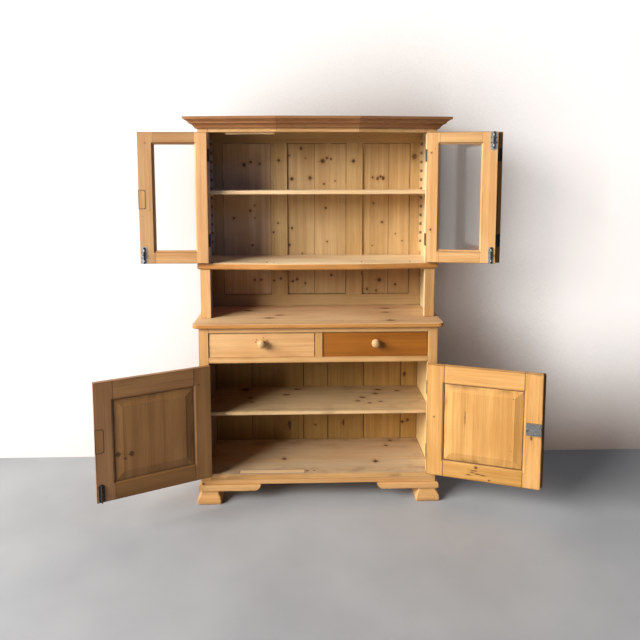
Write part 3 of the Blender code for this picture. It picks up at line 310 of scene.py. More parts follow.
def figure(tree, vector, facing, rim, seed, tone=1.0, ring=0.005, arch=0.0, small=0.0, soil=0.5, reach=0.012,
           dust=0.0, bleach=DUST_AND_SHEEN, up=0.0, knots=(), hues=HONEY):
    """The pine figure on a board; its chosen knots are (place on the board, radius, length in radii)."""
    chain = {}
    for place, radius, length in knots:
        given = {"Vector": vector, "Centre": place, "Radius": radius, "Length": length, **chain}
        chain = dict(add(tree, "ShaderNodeGroup", given, node_tree=PINE_KNOT).outputs.items())
    pale, deep, late = (shaded(hue, tone) for hue in hues)
    given = {"Vector": vector, "Facing": facing, "Rim": rim, "Seed": seed, "Ring": ring, "Arch": arch,
             "Small knots": small, "Soil": soil, "Reach": reach, "Dust": dust, "Up": up,
             "Bleach": (*bleach, 1.0), "Pale": pale, "Deep": deep, "Late": late, **chain}
    return add(tree, "ShaderNodeGroup", given, node_tree=PINE_FIGURE).outputs


KNOT_LENGTH = 1.2


def on_board(knots, rotation, middle):
    """Knots given in the model as (x, y, z, radius) or with a length too, set on a board."""
    return [(rotation @ Vector(k[:3]) - middle, k[3], k[4] if len(k) > 4 else KNOT_LENGTH) for k in knots]


def waxed(material, colour, roughness, height, normal=None):
    """Waxed wood: the figure's colour and roughness on the shader, with its pores as a fine bump."""
    tree = material.node_tree
    bump = add(tree, "ShaderNodeBump", {"Height": height, "Strength": 0.25, "Distance": 0.0012})
    if normal:
        fill(tree, bump, {"Normal": normal})
    fill(tree, tree.nodes["Principled BSDF"],
         {"Base Color": colour, "Roughness": roughness, "Normal": bump.outputs["Normal"],
          "Specular IOR Level": 0.28})


def steeper(tree, facing, field, more):
    """The faces that slope from a board's field, shaded as if they sloped more, as hand-planed bevels do."""
    level = add(tree, "ShaderNodeVectorMath", {0: facing, 1: field}, operation="DOT_PRODUCT").outputs["Value"]
    flat = vector_math(tree, "SCALE", field, Scale=level)
    slope = vector_math(tree, "SUBTRACT", facing, flat)
    slope = vector_math(tree, "SCALE", slope, Scale=more)
    bent = vector_math(tree, "ADD", facing, slope)
    moved = add(tree, "ShaderNodeVectorTransform", {0: bent}, vector_type="NORMAL", convert_from="OBJECT",
                convert_to="WORLD")
    return moved.outputs[0]


def new_material(name):
    """A plain node material; returns it, its tree and its texture coordinates."""
    material = bpy.data.materials.new(name)
    material.use_nodes = True
    return material, material.node_tree, material.node_tree.nodes.new("ShaderNodeTexCoord").outputs


def dress(obj, material):
    """Gives an object one material."""
    obj.data.materials.clear()
    obj.data.materials.append(material)


def upward(tree, coords):
    """The mask of the faces that look up."""
    return split(tree, coords["Normal"])["Z"]


def pine_board(board, along, seed, turn=0.0, knots=(), hidden=0.0, joints=(), tones=(), seam=0.0030,
               bare=upward, shade_mask=None, steep=0.0, **looks):
    """Pine on one board, a CAD node by its name or a new piece.

    hidden is how much of its rim sits in a groove.  joints are where it is glued up from several boards,
    tones how light each of these is, on some boards painted light and shade, and seam how wide the dark line
    at a joint.
    bare and dirt make the masks of what is bleached and of where shade is painted, and steep is how much its
    bevels are sharpened."""
    obj = nodes[board] if isinstance(board, str) else board
    rotation, middle, half = cut_of_board(obj, along, turn)
    material, tree, coords = new_material(obj.name + "_pine")
    vector, facing = board_vectors(tree, coords, rotation, middle)
    rim = half - Vector((hidden, 0.0, hidden))
    number = seed
    if joints:
        x = split(tree, coords["Object"])["X"]
        off = 1.0
        own = tones[0]
        for joint, tone, next_tone in zip(joints, tones, tones[1:]):
            past = calc(tree, "GREATER_THAN", x, joint)
            number = linear(tree, past, 3.7, number)
            own = linear(tree, past, next_tone - tone, own)
            off = calc(tree, "MINIMUM", off, calc(tree, "ABSOLUTE", calc(tree, "SUBTRACT", x, joint)))
    out = figure(tree, vector, facing, rim, number, knots=on_board(knots, rotation, middle),
                 up=bare(tree, coords), **looks)
    colour = out["Colour"]
    if joints:
        dark = times(tree, fade(tree, off, seam, 0.0006), 0.75)
        colour = tint(tree, dark, toned(tree, colour, own), (*GRIME_AND_SHADE, 1.0))
    if shade_mask:
        colour = tint(tree, shade_mask(tree, coords["Object"]), colour, (*GRIME_AND_SHADE, 1.0))
    normal = steeper(tree, coords["Normal"], rotation.transposed() @ AXIS["Y"], steep) if steep else None
    waxed(material, colour, out["Roughness"], out["Height"], normal)
    dress(obj, material)


NEW_PINE = ((0.800, 0.560, 0.300), (0.690, 0.430, 0.190), (0.560, 0.310, 0.120))
DRY_PINE = ((0.600, 0.400, 0.180), (0.470, 0.285, 0.110), (0.350, 0.190, 0.062))
BACK_PINE = ((0.455, 0.268, 0.080), (0.335, 0.184, 0.046), (0.225, 0.115, 0.024))
FLOOR_GREY = (0.530, 0.385, 0.230)
SHELF_GREY = (0.430, 0.290, 0.145)
# The insides of the base sides are pale and dry; the left one is darkened and greyed to paint the shade it
# stands in
BASE_INSIDE_DRY_AND_SHADED = {"left": (0.200, 0.130, 0.100), "right": (0.780, 0.530, 0.225)}
SIDES_IN_ORDER = (("left", 1), ("right", -1))
BEHIND_BASE_STILE = -0.050
SHELF_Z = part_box("base_shelf")[1][2]
FLOOR_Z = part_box("base_floor")[1][2]
SHELF_KNOTS = [(-0.40, 0.26, 0.011), (-0.17, 0.18, 0.010), (-0.11, 0.26, 0.009), (-0.36, 0.14, 0.008),
               (-0.35, 0.08, 0.007), (0.24, 0.13, 0.009), (0.21, 0.08, 0.008), (0.27, 0.05, 0.006),
               (0.335, 0.24, 0.010), (0.315, 0.18, 0.009), (0.33, 0.07, 0.006), (0.44, 0.22, 0.008)]
FLOOR_KNOTS = [(-0.18, 0.07, 0.013), (0.30, 0.03, 0.014), (0.38, 0.21, 0.010), (0.41, 0.27, 0.011),
               (-0.06, -0.06, 0.006)]


def inside_of_side(way, behind):
    """Makes the mask of a side's unwaxed inside; way is 1 on the left, and its stile ends at behind."""
    def mask(tree, coords):
        looks_in = times(tree, split(tree, coords["Normal"])["X"], way)
        deep = calc(tree, "GREATER_THAN", split(tree, coords["Object"])["Y"], behind)
        not_outside = calc(tree, "GREATER_THAN", looks_in, -0.5)
        return calc(tree, "MAXIMUM", looks_in, times(tree, deep, not_outside))
    return mask


# Each side's inside takes its own colour, which on the left paints the shade there
for number, (side, way) in enumerate(SIDES_IN_ORDER):
    pine_board(f"base_side_{side}", "Z", 1.0 + number, bare=inside_of_side(way, BEHIND_BASE_STILE), dust=1.0,
               bleach=BASE_INSIDE_DRY_AND_SHADED[side])
pine_board("base_floor", "X", 3.0, tone=0.95, dust=1.0, bleach=FLOOR_GREY, arch=0.5, soil=0.7, reach=0.15,
           knots=[(x, y, FLOOR_Z, r) for x, y, r in FLOOR_KNOTS])
pine_board("base_shelf", "X", 4.0, hues=NEW_PINE, dust=1.0, bleach=SHELF_GREY, soil=0.6, reach=0.15,
           knots=[(x, y, SHELF_Z, 1.15 * r, 2.0) for x, y, r in SHELF_KNOTS])
pine_board("plinth_rail", "X", 5.0, soil=0.3, knots=[(-0.58, -0.088, 0.099, 0.006)])
pine_board("drawer_bottom_rail", "X", 6.0)
pine_board("drawer_top_rail", "X", 7.0)
pine_board("drawer_divider", "Z", 8.0)
BACK_LEFT, BACK_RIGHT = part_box("base_back")[0][0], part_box("base_back")[1][0]
LEFT_PLANK = 0.202
PLANKS_FROM_RIGHT = (0.6444, 0.5074, 0.3034, 0.0934)
BASE_BACK_Y = 0.30
BASE_BACK_KNOTS = [(-0.156, 0.23, 0.010, 3.0), (0.15, 0.24, 0.007, 3.0), (0.487, 0.241, 0.009),
                   (0.517, 0.250, 0.010), (0.495, 0.521, 0.009, 2.0), (-0.01, 0.229, 0.006)]
# The right-hand planks are painted lighter, where the light falls on them
pine_board("base_back", "Z", 9.0, hues=BACK_PINE, soil=0.6, arch=0.2,
           joints=[BACK_LEFT + LEFT_PLANK, *(BACK_RIGHT - step for step in PLANKS_FROM_RIGHT)],
           tones=(0.95, 0.90, 0.88, 0.94, 1.12, 1.18),
           knots=[(x, BASE_BACK_Y, z, *form) for x, z, *form in BASE_BACK_KNOTS])

# Repairs: strips and blocks of newer pine let into worn edges, each with a dark line of old glue round it.

LET_IN = 0.0003
GLUE_LINE = 0.0022


def begin(name, primitive, **settings):
    """Adds a primitive as the only thing selected, and opens it for shaping."""
    bpy.ops.object.select_all(action="DESELECT")
    primitive(**settings)
    piece = bpy.context.object
    piece.name = name
    piece.data.name = name
    bpy.ops.object.transform_apply(location=True, rotation=True, scale=True)
    bpy.ops.object.mode_set(mode="EDIT")
    return piece


def pick(piece, kind, test):
    """While shaping, selects only the faces, edges or verts that pass a test."""
    mesh = bmesh.from_edit_mesh(piece.data)
    bpy.context.tool_settings.mesh_select_mode = (kind == "verts", kind == "edges", kind == "faces")
    bpy.ops.mesh.select_all(action="DESELECT")
    for part in getattr(mesh, kind):
        if test(part):
            part.select_set(True)
    mesh.select_flush_mode()
    bmesh.update_edit_mesh(piece.data)


def mid(edge):
    """The middle of an edge."""
    return (edge.verts[0].co + edge.verts[1].co) / 2


def runs(edge, axis):
    """Whether an edge runs along an axis, 0 to 2."""
    way = (edge.verts[1].co - edge.verts[0].co).normalized()
    return abs(way[axis]) > 0.99


def round_off(width, segments):
    """Bevels the picked edges."""
    bpy.ops.mesh.bevel(offset=width, offset_type="OFFSET", segments=segments, affect="EDGES")


def draw_out(*step):
    """Extrudes what is picked."""
    bpy.ops.mesh.extrude_region_move(TRANSFORM_OT_translate={"value": step})


def block_piece(name, low, high):
    """A block between two corners, open for shaping."""
    low, high = Vector(low), Vector(high)
    return begin(name, bpy.ops.mesh.primitive_cube_add, size=1.0, location=(low + high) / 2,
                 scale=high - low)


def finish_shaping():
    """Closes the piece that is being shaped, with its faces turned outward."""
    bpy.ops.mesh.select_all(action="SELECT")
    bpy.ops.mesh.normals_make_consistent(inside=False)
    bpy.ops.object.mode_set(mode="OBJECT")


def set_place(piece, pin, turn):
    """Moves a piece drawn from a pin to that pin, turned, and leaves its place in its mesh."""
    bpy.ops.object.select_all(action="DESELECT")
    piece.select_set(True)
    bpy.context.view_layer.objects.active = piece
    piece.location = pin
    piece.rotation_euler = (0.0, 0.0, turn)
    bpy.ops.object.transform_apply(location=True, rotation=True, scale=True)


glue, tree, coords = new_material("old_glue")
stain = stretched_noise(tree, coords["Object"], (90.0, 90.0, 90.0), 3.0)
glue_colour = tint(tree, stain, (0.030, 0.014, 0.007, 1.0), (0.120, 0.056, 0.024, 1.0))
fill(tree, tree.nodes["Principled BSDF"], {"Base Color": glue_colour, "Roughness": 0.7})

NO_TURN = (Vector((0.0, 0.0, 0.0)), 0.0)


def let_in(name, body, low, high, out, along, seed, cut=0.0, cut_side=None, place=NO_TURN, line=GLUE_LINE,
           **looks):
    """A let-in piece of newer pine between two corners, with its glue line; out is the axis of its face."""
    for label, grow, sink in (("_line", line, LET_IN / 2), ("", 0.0, 0.0)):
        a = Vector([v - (0.0 if i == out else grow) for i, v in enumerate(low)])
        b = Vector([v + (-sink if i == out else grow) for i, v in enumerate(high)])
        piece = block_piece(name + label, a, b)
        if cut:
            middle = (a + b) / 2
            pick(piece, "edges", lambda e: runs(e, out) and (mid(e)[0] - middle[0]) * cut_side > 0)
            round_off(cut, 4)
        pick(piece, "edges", lambda e: abs(mid(e)[out] - b[out]) < 1e-6)
        round_off(LET_IN / 3, 1)
        finish_shaping()
        set_place(piece, *place)
        if label:
            dress(piece, glue)
        else:
            pine_board(piece, along, seed, place[1], **looks)
        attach(piece, body)


FACE_Y, FACE_Z = 1, 2
STRIP_DEPTH = 0.004
let_in("floor_strip", "carcass", (-0.400, -0.080, FLOOR_Z - STRIP_DEPTH),
       (-0.073, -0.046, FLOOR_Z + LET_IN), FACE_Z, "X", 80.0, hues=NEW_PINE, tone=1.15, soil=0.2)

# The feet: a moulded bracket planted under the plinth on each side, with an ogee block foot below its
# corner, both of pine with the grain running across the front.

pine_board("front_foot_left", "X", 10.0, tone=1.04, soil=0.35)
pine_board("front_foot_right", "X", 11.0, tone=1.02, soil=0.35)

# The counter: one broad pine board with rounded front corners and a rounded nose, worn pale on top, which
# also paints the sheen of the light on it, and darker along the nose where hands and cloths have rubbed it.

COUNTER_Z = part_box("counter_top")[1][2]
COUNTER_KNOTS = [(-0.37, 0.19, 0.010), (-0.20, 0.08, 0.008), (-0.25, 0.02, 0.009), (0.37, 0.22, 0.009),
                 (0.36, 0.13, 0.008), (0.36, -0.045, 0.009)]
NOSE_PINE = ((0.545, 0.245, 0.062), (0.420, 0.160, 0.034), (0.310, 0.105, 0.019))
pine_board("counter_top", "X", 12.0, tone=1.05, hues=NOSE_PINE, dust=0.52, soil=0.35, arch=0.4,
           knots=[(x, y, COUNTER_Z, 1.3 * r, 2.4) for x, y, r in COUNTER_KNOTS])

# The drawers: dovetailed pine boxes behind solid fronts.  The right-hand front is a later, much redder
# board, and the left one keeps the filled holes of an older handle round its knob.

RED_PINE = ((0.385, 0.128, 0.0110), (0.285, 0.086, 0.0062), (0.195, 0.052, 0.0038))
KNOB_PINE = ((0.640, 0.400, 0.190), (0.520, 0.300, 0.130), (0.430, 0.225, 0.085))
KNOB_SIDES = 40
KNOB_OUT = 0.040
KNOB_FLAT = 0.85


def turned_knob(name, node):
    """A knob turned from one piece: a collar, a short neck and a flattened ball, on the drawer's face."""
    low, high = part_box(node)
    x, z = (low[0] + high[0]) / 2, (low[2] + high[2]) / 2
    front, ball = low[1], (high[0] - low[0]) / 2
    face = front + KNOB_OUT
    steps = [(0.0145, 0.0008), (0.0148, 0.0018), (0.0138, 0.0030), (0.0110, 0.0042), (0.0097, 0.0058),
             (0.0096, 0.0090)]
    deep = ball * KNOB_FLAT
    for degrees in range(-58, 90, 8):
        t = math.radians(degrees)
        steps.append((ball * math.cos(t), KNOB_OUT - deep + deep * math.sin(t)))
    piece = begin(name, bpy.ops.mesh.primitive_circle_add, vertices=KNOB_SIDES, radius=steps[0][0],
                  fill_type="NGON", location=(x, face - steps[0][1], z),
                  rotation=(math.radians(90), 0.0, 0.0))
    bpy.ops.mesh.select_all(action="SELECT")
    for (radius, out), (next_radius, next_out) in zip(steps, steps[1:]):
        grow = next_radius / radius
        draw_out(0.0, out - next_out, 0.0)
        bpy.ops.transform.resize(value=(grow, 1.0, grow), center_override=(x, face - next_out, z))
    pick(piece, "edges", lambda e: e.is_boundary)
    bpy.ops.mesh.edge_face_add()
    finish_shaping()
    bpy.ops.object.shade_smooth_by_angle(angle=math.radians(40))
    return piece


LEFT_FRONT_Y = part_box("drawer_left_front")[0][1]
HANDLE_X, HANDLE_Z = -0.280, 0.821
OLD_HOLES = [(-0.030, 0.004, 0.0030), (-0.022, -0.010, 0.0024), (-0.026, 0.016, 0.0024),
             (0.026, 0.012, 0.0028), (0.030, -0.004, 0.0024), (0.006, 0.026, 0.0024)]
pine_board("drawer_left_front", "X", 13.0, tone=1.13, arch=0.15,
           knots=[(HANDLE_X + dx, LEFT_FRONT_Y, HANDLE_Z + dz, r) for dx, dz, r in OLD_HOLES])
pine_board("drawer_right_front", "X", 14.0, hues=RED_PINE, ring=0.0065)
for side in ("left", "right"):
    pine_board(f"drawer_{side}_box", "Y", 15.0, tone=0.95)
    pine_board(f"drawer_{side}_knob", "Y", 17.0, hues=KNOB_PINE, soil=0.0)
    knob = turned_knob(f"drawer_{side}_turned_knob", f"drawer_{side}_knob")
    pine_board(knob, "Y", 17.0, hues=KNOB_PINE, soil=0.0)
    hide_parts(f"drawer_{side}_knob")
    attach(knob, f"drawer_{side}")

# The lower doors: two stiles, two rails and a fielded panel each, grooved and tenoned together, on two butt
# hinges each.  A rebated cover strip is glued on the outside of the right one, over the joint between them.

PIN_OUT = 0.0053
DOOR_T = 0.024
DOOR_REACH = 0.5395
PANEL_HIDDEN = 0.010
DOOR_LOW, DOOR_HIGH = 0.154, 0.718
LEFT, RIGHT = -1, 1
SIDE_OF = {"left": LEFT, "right": RIGHT}
DOOR_OPEN = {"left": 155.0, "right": 161.0}
PINS = {j["name"]: Vector((*j["pos_m"][:2], 0.0)) for j in frame["joints"] if j["type"] == "hinge"}
# The left door's pine is made darker to paint the shade it stands in
DOOR_PINE_SHADED_LEFT = {"left": ((0.318, 0.156, 0.053), (0.232, 0.104, 0.031), (0.160, 0.064, 0.017)),
             "right": ((0.690, 0.372, 0.115), (0.545, 0.258, 0.066), (0.400, 0.170, 0.038))}
DOOR_TURN = {side: SIDE_OF[side] * math.radians(DOOR_OPEN[side]) for side in SIDE_OF}
DOOR_PIN = {side: PINS[f"lower_door_{side}_swing"] for side in SIDE_OF}


def on_leaf(side, pin, turn, along, inward, z):
    """A point of a door or leaf in the model: along it from its pin, inward from the pin, and its height."""
    return pin + Matrix.Rotation(turn, 3, "Z") @ Vector((-side * along, inward, z))


def door_marks(side, marks):
    """Knots and marks on the inner face of a lower door, from (along, height, radius, length)."""
    return [(*on_leaf(SIDE_OF[side], DOOR_PIN[side], DOOR_TURN[side], a, PIN_OUT + DOOR_T, z), *form)
            for a, z, *form in marks]


DOOR_MARKS = {
    "panel": {"left": [(0.44, 0.364, 0.013), (0.41, 0.340, 0.007), (0.38, 0.357, 0.013)],
              "right": [(0.187, 0.466, 0.0022, 18.0)]},
    "hinge_stile": {"left": [(0.059, 0.634, 0.004)], "right": [(0.038, 0.454, 0.0035)]},
    "meeting_stile": {"left": [], "right": [(0.493, 0.405, 0.005, 2.2)]},
    "bottom_rail": {"left": [], "right": [(0.243, 0.222, 0.007), (0.210, 0.181, 0.003, 5.0),
                                          (0.250, 0.190, 0.003, 6.0), (0.277, 0.187, 0.003, 5.0),
                                          (0.307, 0.167, 0.004), (0.235, 0.205, 0.003, 6.0),
                                          (0.225, 0.196, 0.003, 4.0)]},
    "top_rail": {"left": [], "right": []}}
MEETING_TONE = {"left": 1.34, "right": 1.14}
for side, first in (("left", 20.0), ("right", 26.0)):
    boards = (("hinge_stile", "Z", {}), ("meeting_stile", "Z", {"tone": MEETING_TONE[side]}),
              ("bottom_rail", "X", {"tone": 0.85}), ("top_rail", "X", {"tone": 1.15}),
              ("panel", "Z", {"arch": 0.25, "reach": 0.030, "hidden": PANEL_HIDDEN, "steep": 1.6}))
    for number, (board, along, looks) in enumerate(boards):
        pine_board(f"lower_door_{side}_{board}", along, first + number, DOOR_TURN[side], soil=0.95,
                   hues=DOOR_PINE_SHADED_LEFT[side], knots=door_marks(side, DOOR_MARKS[board][side]), **looks)
let_in("lower_door_left_block", "lower_door_left", (0.503, PIN_OUT + DOOR_T - STRIP_DEPTH, 0.390),
       (DOOR_REACH - 0.003, PIN_OUT + DOOR_T + LET_IN, 0.498), FACE_Y, "Z", 82.0, cut=0.012, cut_side=LEFT,
       place=(DOOR_PIN["left"], DOOR_TURN["left"]), line=0.0034, hues=DOOR_PINE_SHADED_LEFT["left"], tone=1.1, soil=0.2)

STRIP_LAP, STRIP_OVER, STRIP_T, STRIP_REBATE = 0.016, 0.012, 0.009, 0.0008
strip = block_piece("lower_door_right_cover_strip",
                    (-DOOR_REACH - STRIP_OVER, PIN_OUT - STRIP_T, DOOR_LOW + 0.002),
                    (-DOOR_REACH + STRIP_LAP, PIN_OUT - STRIP_REBATE, DOOR_HIGH - 0.002))
pick(strip, "edges", lambda e: runs(e, 2) and mid(e).y < PIN_OUT - STRIP_T / 2)
round_off(0.004, 4)
bpy.ops.mesh.select_all(action="SELECT")
bpy.ops.mesh.bisect(plane_co=(-DOOR_REACH, 0.0, 0.0), plane_no=(1.0, 0.0, 0.0))
pick(strip, "faces", lambda f: f.normal.y > 0.99 and f.calc_center_median().x > -DOOR_REACH)
draw_out(0.0, STRIP_REBATE, 0.0)
finish_shaping()
set_place(strip, DOOR_PIN["right"], DOOR_TURN["right"])
# The strip is made dark to paint the shade that the door's edge casts on it
pine_board(strip, "Z", 32.0, DOOR_TURN["right"], tone=0.45, hues=DOOR_PINE_SHADED_LEFT["right"])
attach(strip, "lower_door_right")

# The ironwork of the lower doors: butt hinges of dark iron let into the edges, a slide bolt on a plate with
# two staples on the left door, and a rim lock in a grey steel case on the right one.

PLATE_T = 0.0012
PLATE_IN = 0.0243
PLATE_GAP = 0.0002
SCREW_R = 0.0030
SCREW_PROUD = 0.00005


def metal(name, dark, light, rust, metallic, rough, streak=(60.0, 60.0, 95.0)):
    """Old metal: two tones in fine specks, with rust in the hollows and a rubbed, uneven gloss."""
    material, tree, coords = new_material(name)
    speck = stretched_noise(tree, coords["Object"], (260.0, 260.0, 260.0), 4.0)
    patch = stretched_noise(tree, coords["Object"], streak, 3.0)
    colour = tint(tree, fade(tree, speck, 0.35, 0.70), (*dark, 1.0), (*light, 1.0))
    colour = tint(tree, fade(tree, patch, 0.56, 0.78), colour, (*rust, 1.0))
    bump = add(tree, "ShaderNodeBump", {"Height": speck, "Strength": 0.30, "Distance": 0.0004})
    fill(tree, tree.nodes["Principled BSDF"],
         {"Base Color": colour, "Roughness": linear(tree, speck, 0.30, rough), "Metallic": metallic,
          "Normal": bump.outputs["Normal"]})
    return material


RUST = (0.060, 0.026, 0.012)
iron = metal("dark_iron", (0.020, 0.017, 0.015), (0.085, 0.075, 0.066), RUST, 0.65, 0.34)
steel = metal("grey_steel", (0.130, 0.130, 0.128), (0.460, 0.450, 0.430), (0.060, 0.052, 0.044), 0.70, 0.30,
              (22.0, 22.0, 130.0))
plated = metal("plated_steel", (0.230, 0.222, 0.208), (0.480, 0.468, 0.440), (0.090, 0.072, 0.055), 0.30,
               0.34)
for name, obj in nodes.items():
    if name.endswith(("_hinge", "_bolt")):
        dress(obj, iron)
    elif name.endswith("_lock"):
        dress(obj, steel)


def slotted_screw():
    """A countersunk screw head facing up, with its slot cut down into it; kept as the one to copy."""
    slot = SCREW_R * 0.16
    piece = begin("screw_head", bpy.ops.mesh.primitive_circle_add, vertices=16, radius=SCREW_R,
                  fill_type="NGON")
    for y in (slot, -slot):
        bpy.ops.mesh.select_all(action="SELECT")
        bpy.ops.mesh.bisect(plane_co=(0.0, y, 0.0), plane_no=(0.0, 1.0, 0.0))
    pick(piece, "faces", lambda f: abs(f.calc_center_median().y) < slot / 2)
    draw_out(0.0, 0.0, -0.0007)
    pick(piece, "edges", lambda e: e.is_boundary and mid(e).z > -1e-6)
    draw_out(0.0, 0.0, -0.0009)
    bpy.ops.mesh.edge_face_add()
    finish_shaping()
    return piece


SCREW = slotted_screw()
FACING = {"+X": Matrix.Rotation(math.radians(90), 4, "Y"), "-X": Matrix.Rotation(math.radians(-90), 4, "Y"),
          "+Y": Matrix.Rotation(math.radians(-90), 4, "X")}


def copied(source, name, matrix):
    """A copy of a modelled piece with its own mesh, placed by a matrix."""
    mesh = source.data.copy()
    mesh.transform(matrix)
    piece = bpy.data.objects.new(name, mesh)
    bpy.context.scene.collection.objects.link(piece)
    return piece


def screws_at(name, points, facing):
    """Screw heads at the given points, each with its slot turned a little differently."""
    made = []
    for number, point in enumerate(points):
        spin = Matrix.Rotation(0.7 + 1.3 * number, 4, "Z")
        made.append(copied(SCREW, f"{name}_{number}", Matrix.Translation(point) @ FACING[facing] @ spin))
    return made


def joined(pieces, name):
    """Several pieces made one."""
    bpy.ops.object.select_all(action="DESELECT")
    for piece in pieces:
        piece.select_set(True)
    bpy.context.view_layer.objects.active = pieces[0]
    bpy.ops.object.join()
    pieces[0].name = name
    pieces[0].data.name = name
    return pieces[0]


def hinge_plates(hinge, side, fixed_body, moving_body, fixed_place, moving_place):
    """The plate on the moving edge with its three screws, and the screws of the plate on the fixed edge."""
    low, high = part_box(hinge)[0][2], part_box(hinge)[1][2]
    heights = [low + (high - low) * share for share in (0.16, 0.5, 0.84)]
    depths = (0.0175, 0.0110, 0.0175)
    near, far = sorted((-side * PLATE_GAP, -side * (PLATE_GAP + PLATE_T)))
    plate = block_piece(hinge + "_plate", (near, 0.0049, low), (far, PLATE_IN, high))
    pick(plate, "edges", lambda e: runs(e, 0) and mid(e).y > PLATE_IN / 2)
    round_off(0.0015, 2)
    finish_shaping()
    toward = "+X" if side == RIGHT else "-X"
    away = "-X" if side == RIGHT else "+X"
    on_plate = [Vector((-side * (PLATE_GAP - SCREW_PROUD), y, z)) for y, z in zip(depths, heights)]
    plate = joined([plate, *screws_at("screw", on_plate, toward)], hinge + "_plate")
    on_post = [Vector((-side * SCREW_PROUD, y, z)) for y, z in zip(depths, heights)]
    fixed = joined(screws_at("screw", on_post, away), hinge + "_post_screws")
    for piece, place, body in ((plate, moving_place, moving_body), (fixed, fixed_place, fixed_body)):
        set_place(piece, *place)
        dress(piece, iron)
        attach(piece, body)


for side in ("left", "right"):
    for level in ("lower", "upper"):
        hinge_plates(f"lower_door_{side}_{level}_hinge", SIDE_OF[side], "carcass", f"lower_door_{side}",
                     (DOOR_PIN[side], 0.0), (DOOR_PIN[side], DOOR_TURN[side]))

BOLT_R = 0.004
BOLT_OFF = 0.0009
BOLT_EDGE = 0.022
BOLT_PLATE_T = 0.0008
STAPLE_T = 0.0010
STAPLE_W = 0.0090
STAPLE_FOOT = 0.0055


def bolt_staple():
    """A strap bent over the bolt, with a foot on the plate at each side; the bolt runs up through it."""
    inside = BOLT_R + 0.0004
    drop = BOLT_R + BOLT_OFF - BOLT_PLATE_T
    piece = begin("bolt_staple", bpy.ops.mesh.primitive_cylinder_add, vertices=24, radius=inside,
                  depth=STAPLE_W, end_fill_type="NOTHING")
    bpy.ops.mesh.select_all(action="SELECT")
    bpy.ops.mesh.bisect(plane_co=(0.0, 0.0, 0.0), plane_no=(0.0, 1.0, 0.0), clear_inner=True)
    pick(piece, "edges", lambda e: e.is_boundary and runs(e, 2))
    draw_out(0.0, -drop, 0.0)
    for way in (LEFT, RIGHT):
        pick(piece, "edges", lambda e: e.is_boundary and runs(e, 2) and mid(e).x * way > 0)
        draw_out(way * STAPLE_FOOT, 0.0, 0.0)
    finish_shaping()
    strap = piece.modifiers.new("strap", "SOLIDIFY")
    strap.thickness = STAPLE_T
    strap.offset = 1.0
    bpy.ops.object.modifier_apply(modifier="strap")
    return piece


STAPLE = bolt_staple()


def bolt_plate(name, body, side, place, reach, inner, low, high, width, metal_of):
    """The plate under a slide bolt, with its round end away from the edge, two staples and its screws."""
    x = -side * (reach - BOLT_EDGE)
    bottom, top = min(low, high), max(low, high)
    plate = block_piece(name, (x - width / 2, inner + 0.00001, bottom),
                        (x + width / 2, inner + BOLT_PLATE_T, top))
    pick(plate, "edges", lambda e: runs(e, 1) and abs(mid(e).z - high) < 1e-6)
    round_off(width * 0.42, 6)
    pick(plate, "edges", lambda e: mid(e).y > inner + BOLT_PLATE_T - 1e-6 and not runs(e, 1))
    round_off(0.0003, 1)
    finish_shaping()
    way = 1.0 if high > low else -1.0
    rod = inner + BOLT_OFF + BOLT_R
    parts = [plate]
    for step in (0.014, 0.066):
        parts.append(copied(STAPLE, "staple", Matrix.Translation((x, rod, low + way * step))))
    screw_x = width / 2 - 0.0042
    for part in parts:
        dress(part, metal_of)
    spots = [Vector((x + off, inner + BOLT_PLATE_T + SCREW_PROUD, low + way * step))
             for step in (0.028, 0.054) for off in (-screw_x, screw_x)]
    screws = screws_at("screw", spots, "+Y")
    for screw in screws:
        dress(screw, iron)
    whole = joined([*parts, *screws], name)
    set_place(whole, *place)
    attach(whole, body)


bolt_plate("lower_door_left_bolt_plate", "lower_door_left", LEFT, (DOOR_PIN["left"], DOOR_TURN["left"]),
           DOOR_REACH, PIN_OUT + DOOR_T, DOOR_LOW + 0.001, DOOR_LOW + 0.086, 0.027, iron)

LOCK_LOW, LOCK_HIGH = 0.421, 0.479
LOCK_NEAR, LOCK_FAR = DOOR_REACH - 0.072, DOOR_REACH - 0.003
LOCK_FACE = PIN_OUT + DOOR_T + 0.011
case = block_piece("lower_door_right_lock_cover", (-LOCK_FAR + 0.002, LOCK_FACE, LOCK_LOW + 0.002),
                   (-LOCK_NEAR - 0.002, LOCK_FACE + 0.0008, LOCK_HIGH - 0.002))
pick(case, "edges", lambda e: mid(e).y > LOCK_FACE + 0.0007)
round_off(0.0006, 2)
pick(case, "faces", lambda f: f.normal.y > 0.99)
bpy.ops.mesh.inset(thickness=0.003, depth=-0.0004)
finish_shaping()
corners = [Vector((-a, LOCK_FACE + 0.0009, z)) for a in (LOCK_NEAR + 0.009, LOCK_FAR - 0.009)
           for z in (LOCK_LOW + 0.009, LOCK_HIGH - 0.009)]
case = joined([case, *screws_at("screw", corners, "+Y")], "lower_door_right_lock_cover")
edge_plate = block_piece("lower_door_right_lock_edge",
                         (-DOOR_REACH - 0.0005, PIN_OUT + 0.007, LOCK_LOW - 0.010),
                         (-DOOR_REACH + 0.002, PIN_OUT + DOOR_T - 0.001, LOCK_HIGH + 0.010))
pick(edge_plate, "edges", lambda e: runs(e, 0))
round_off(0.002, 3)
pick(edge_plate, "faces", lambda f: f.normal.x < -0.99)
bpy.ops.mesh.inset(thickness=0.004, depth=-0.0003)
finish_shaping()
for piece in (case, edge_plate):
    set_place(piece, DOOR_PIN["right"], DOOR_TURN["right"])
    dress(piece, steel)
    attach(piece, "lower_door_right")

# The hutch: sides with canted stiles, a waist board, a shelf on saw-toothed racks, a framed back and the
# canted frieze below a mitred cornice, all of the same pine.  The inside is dry and has many knots.

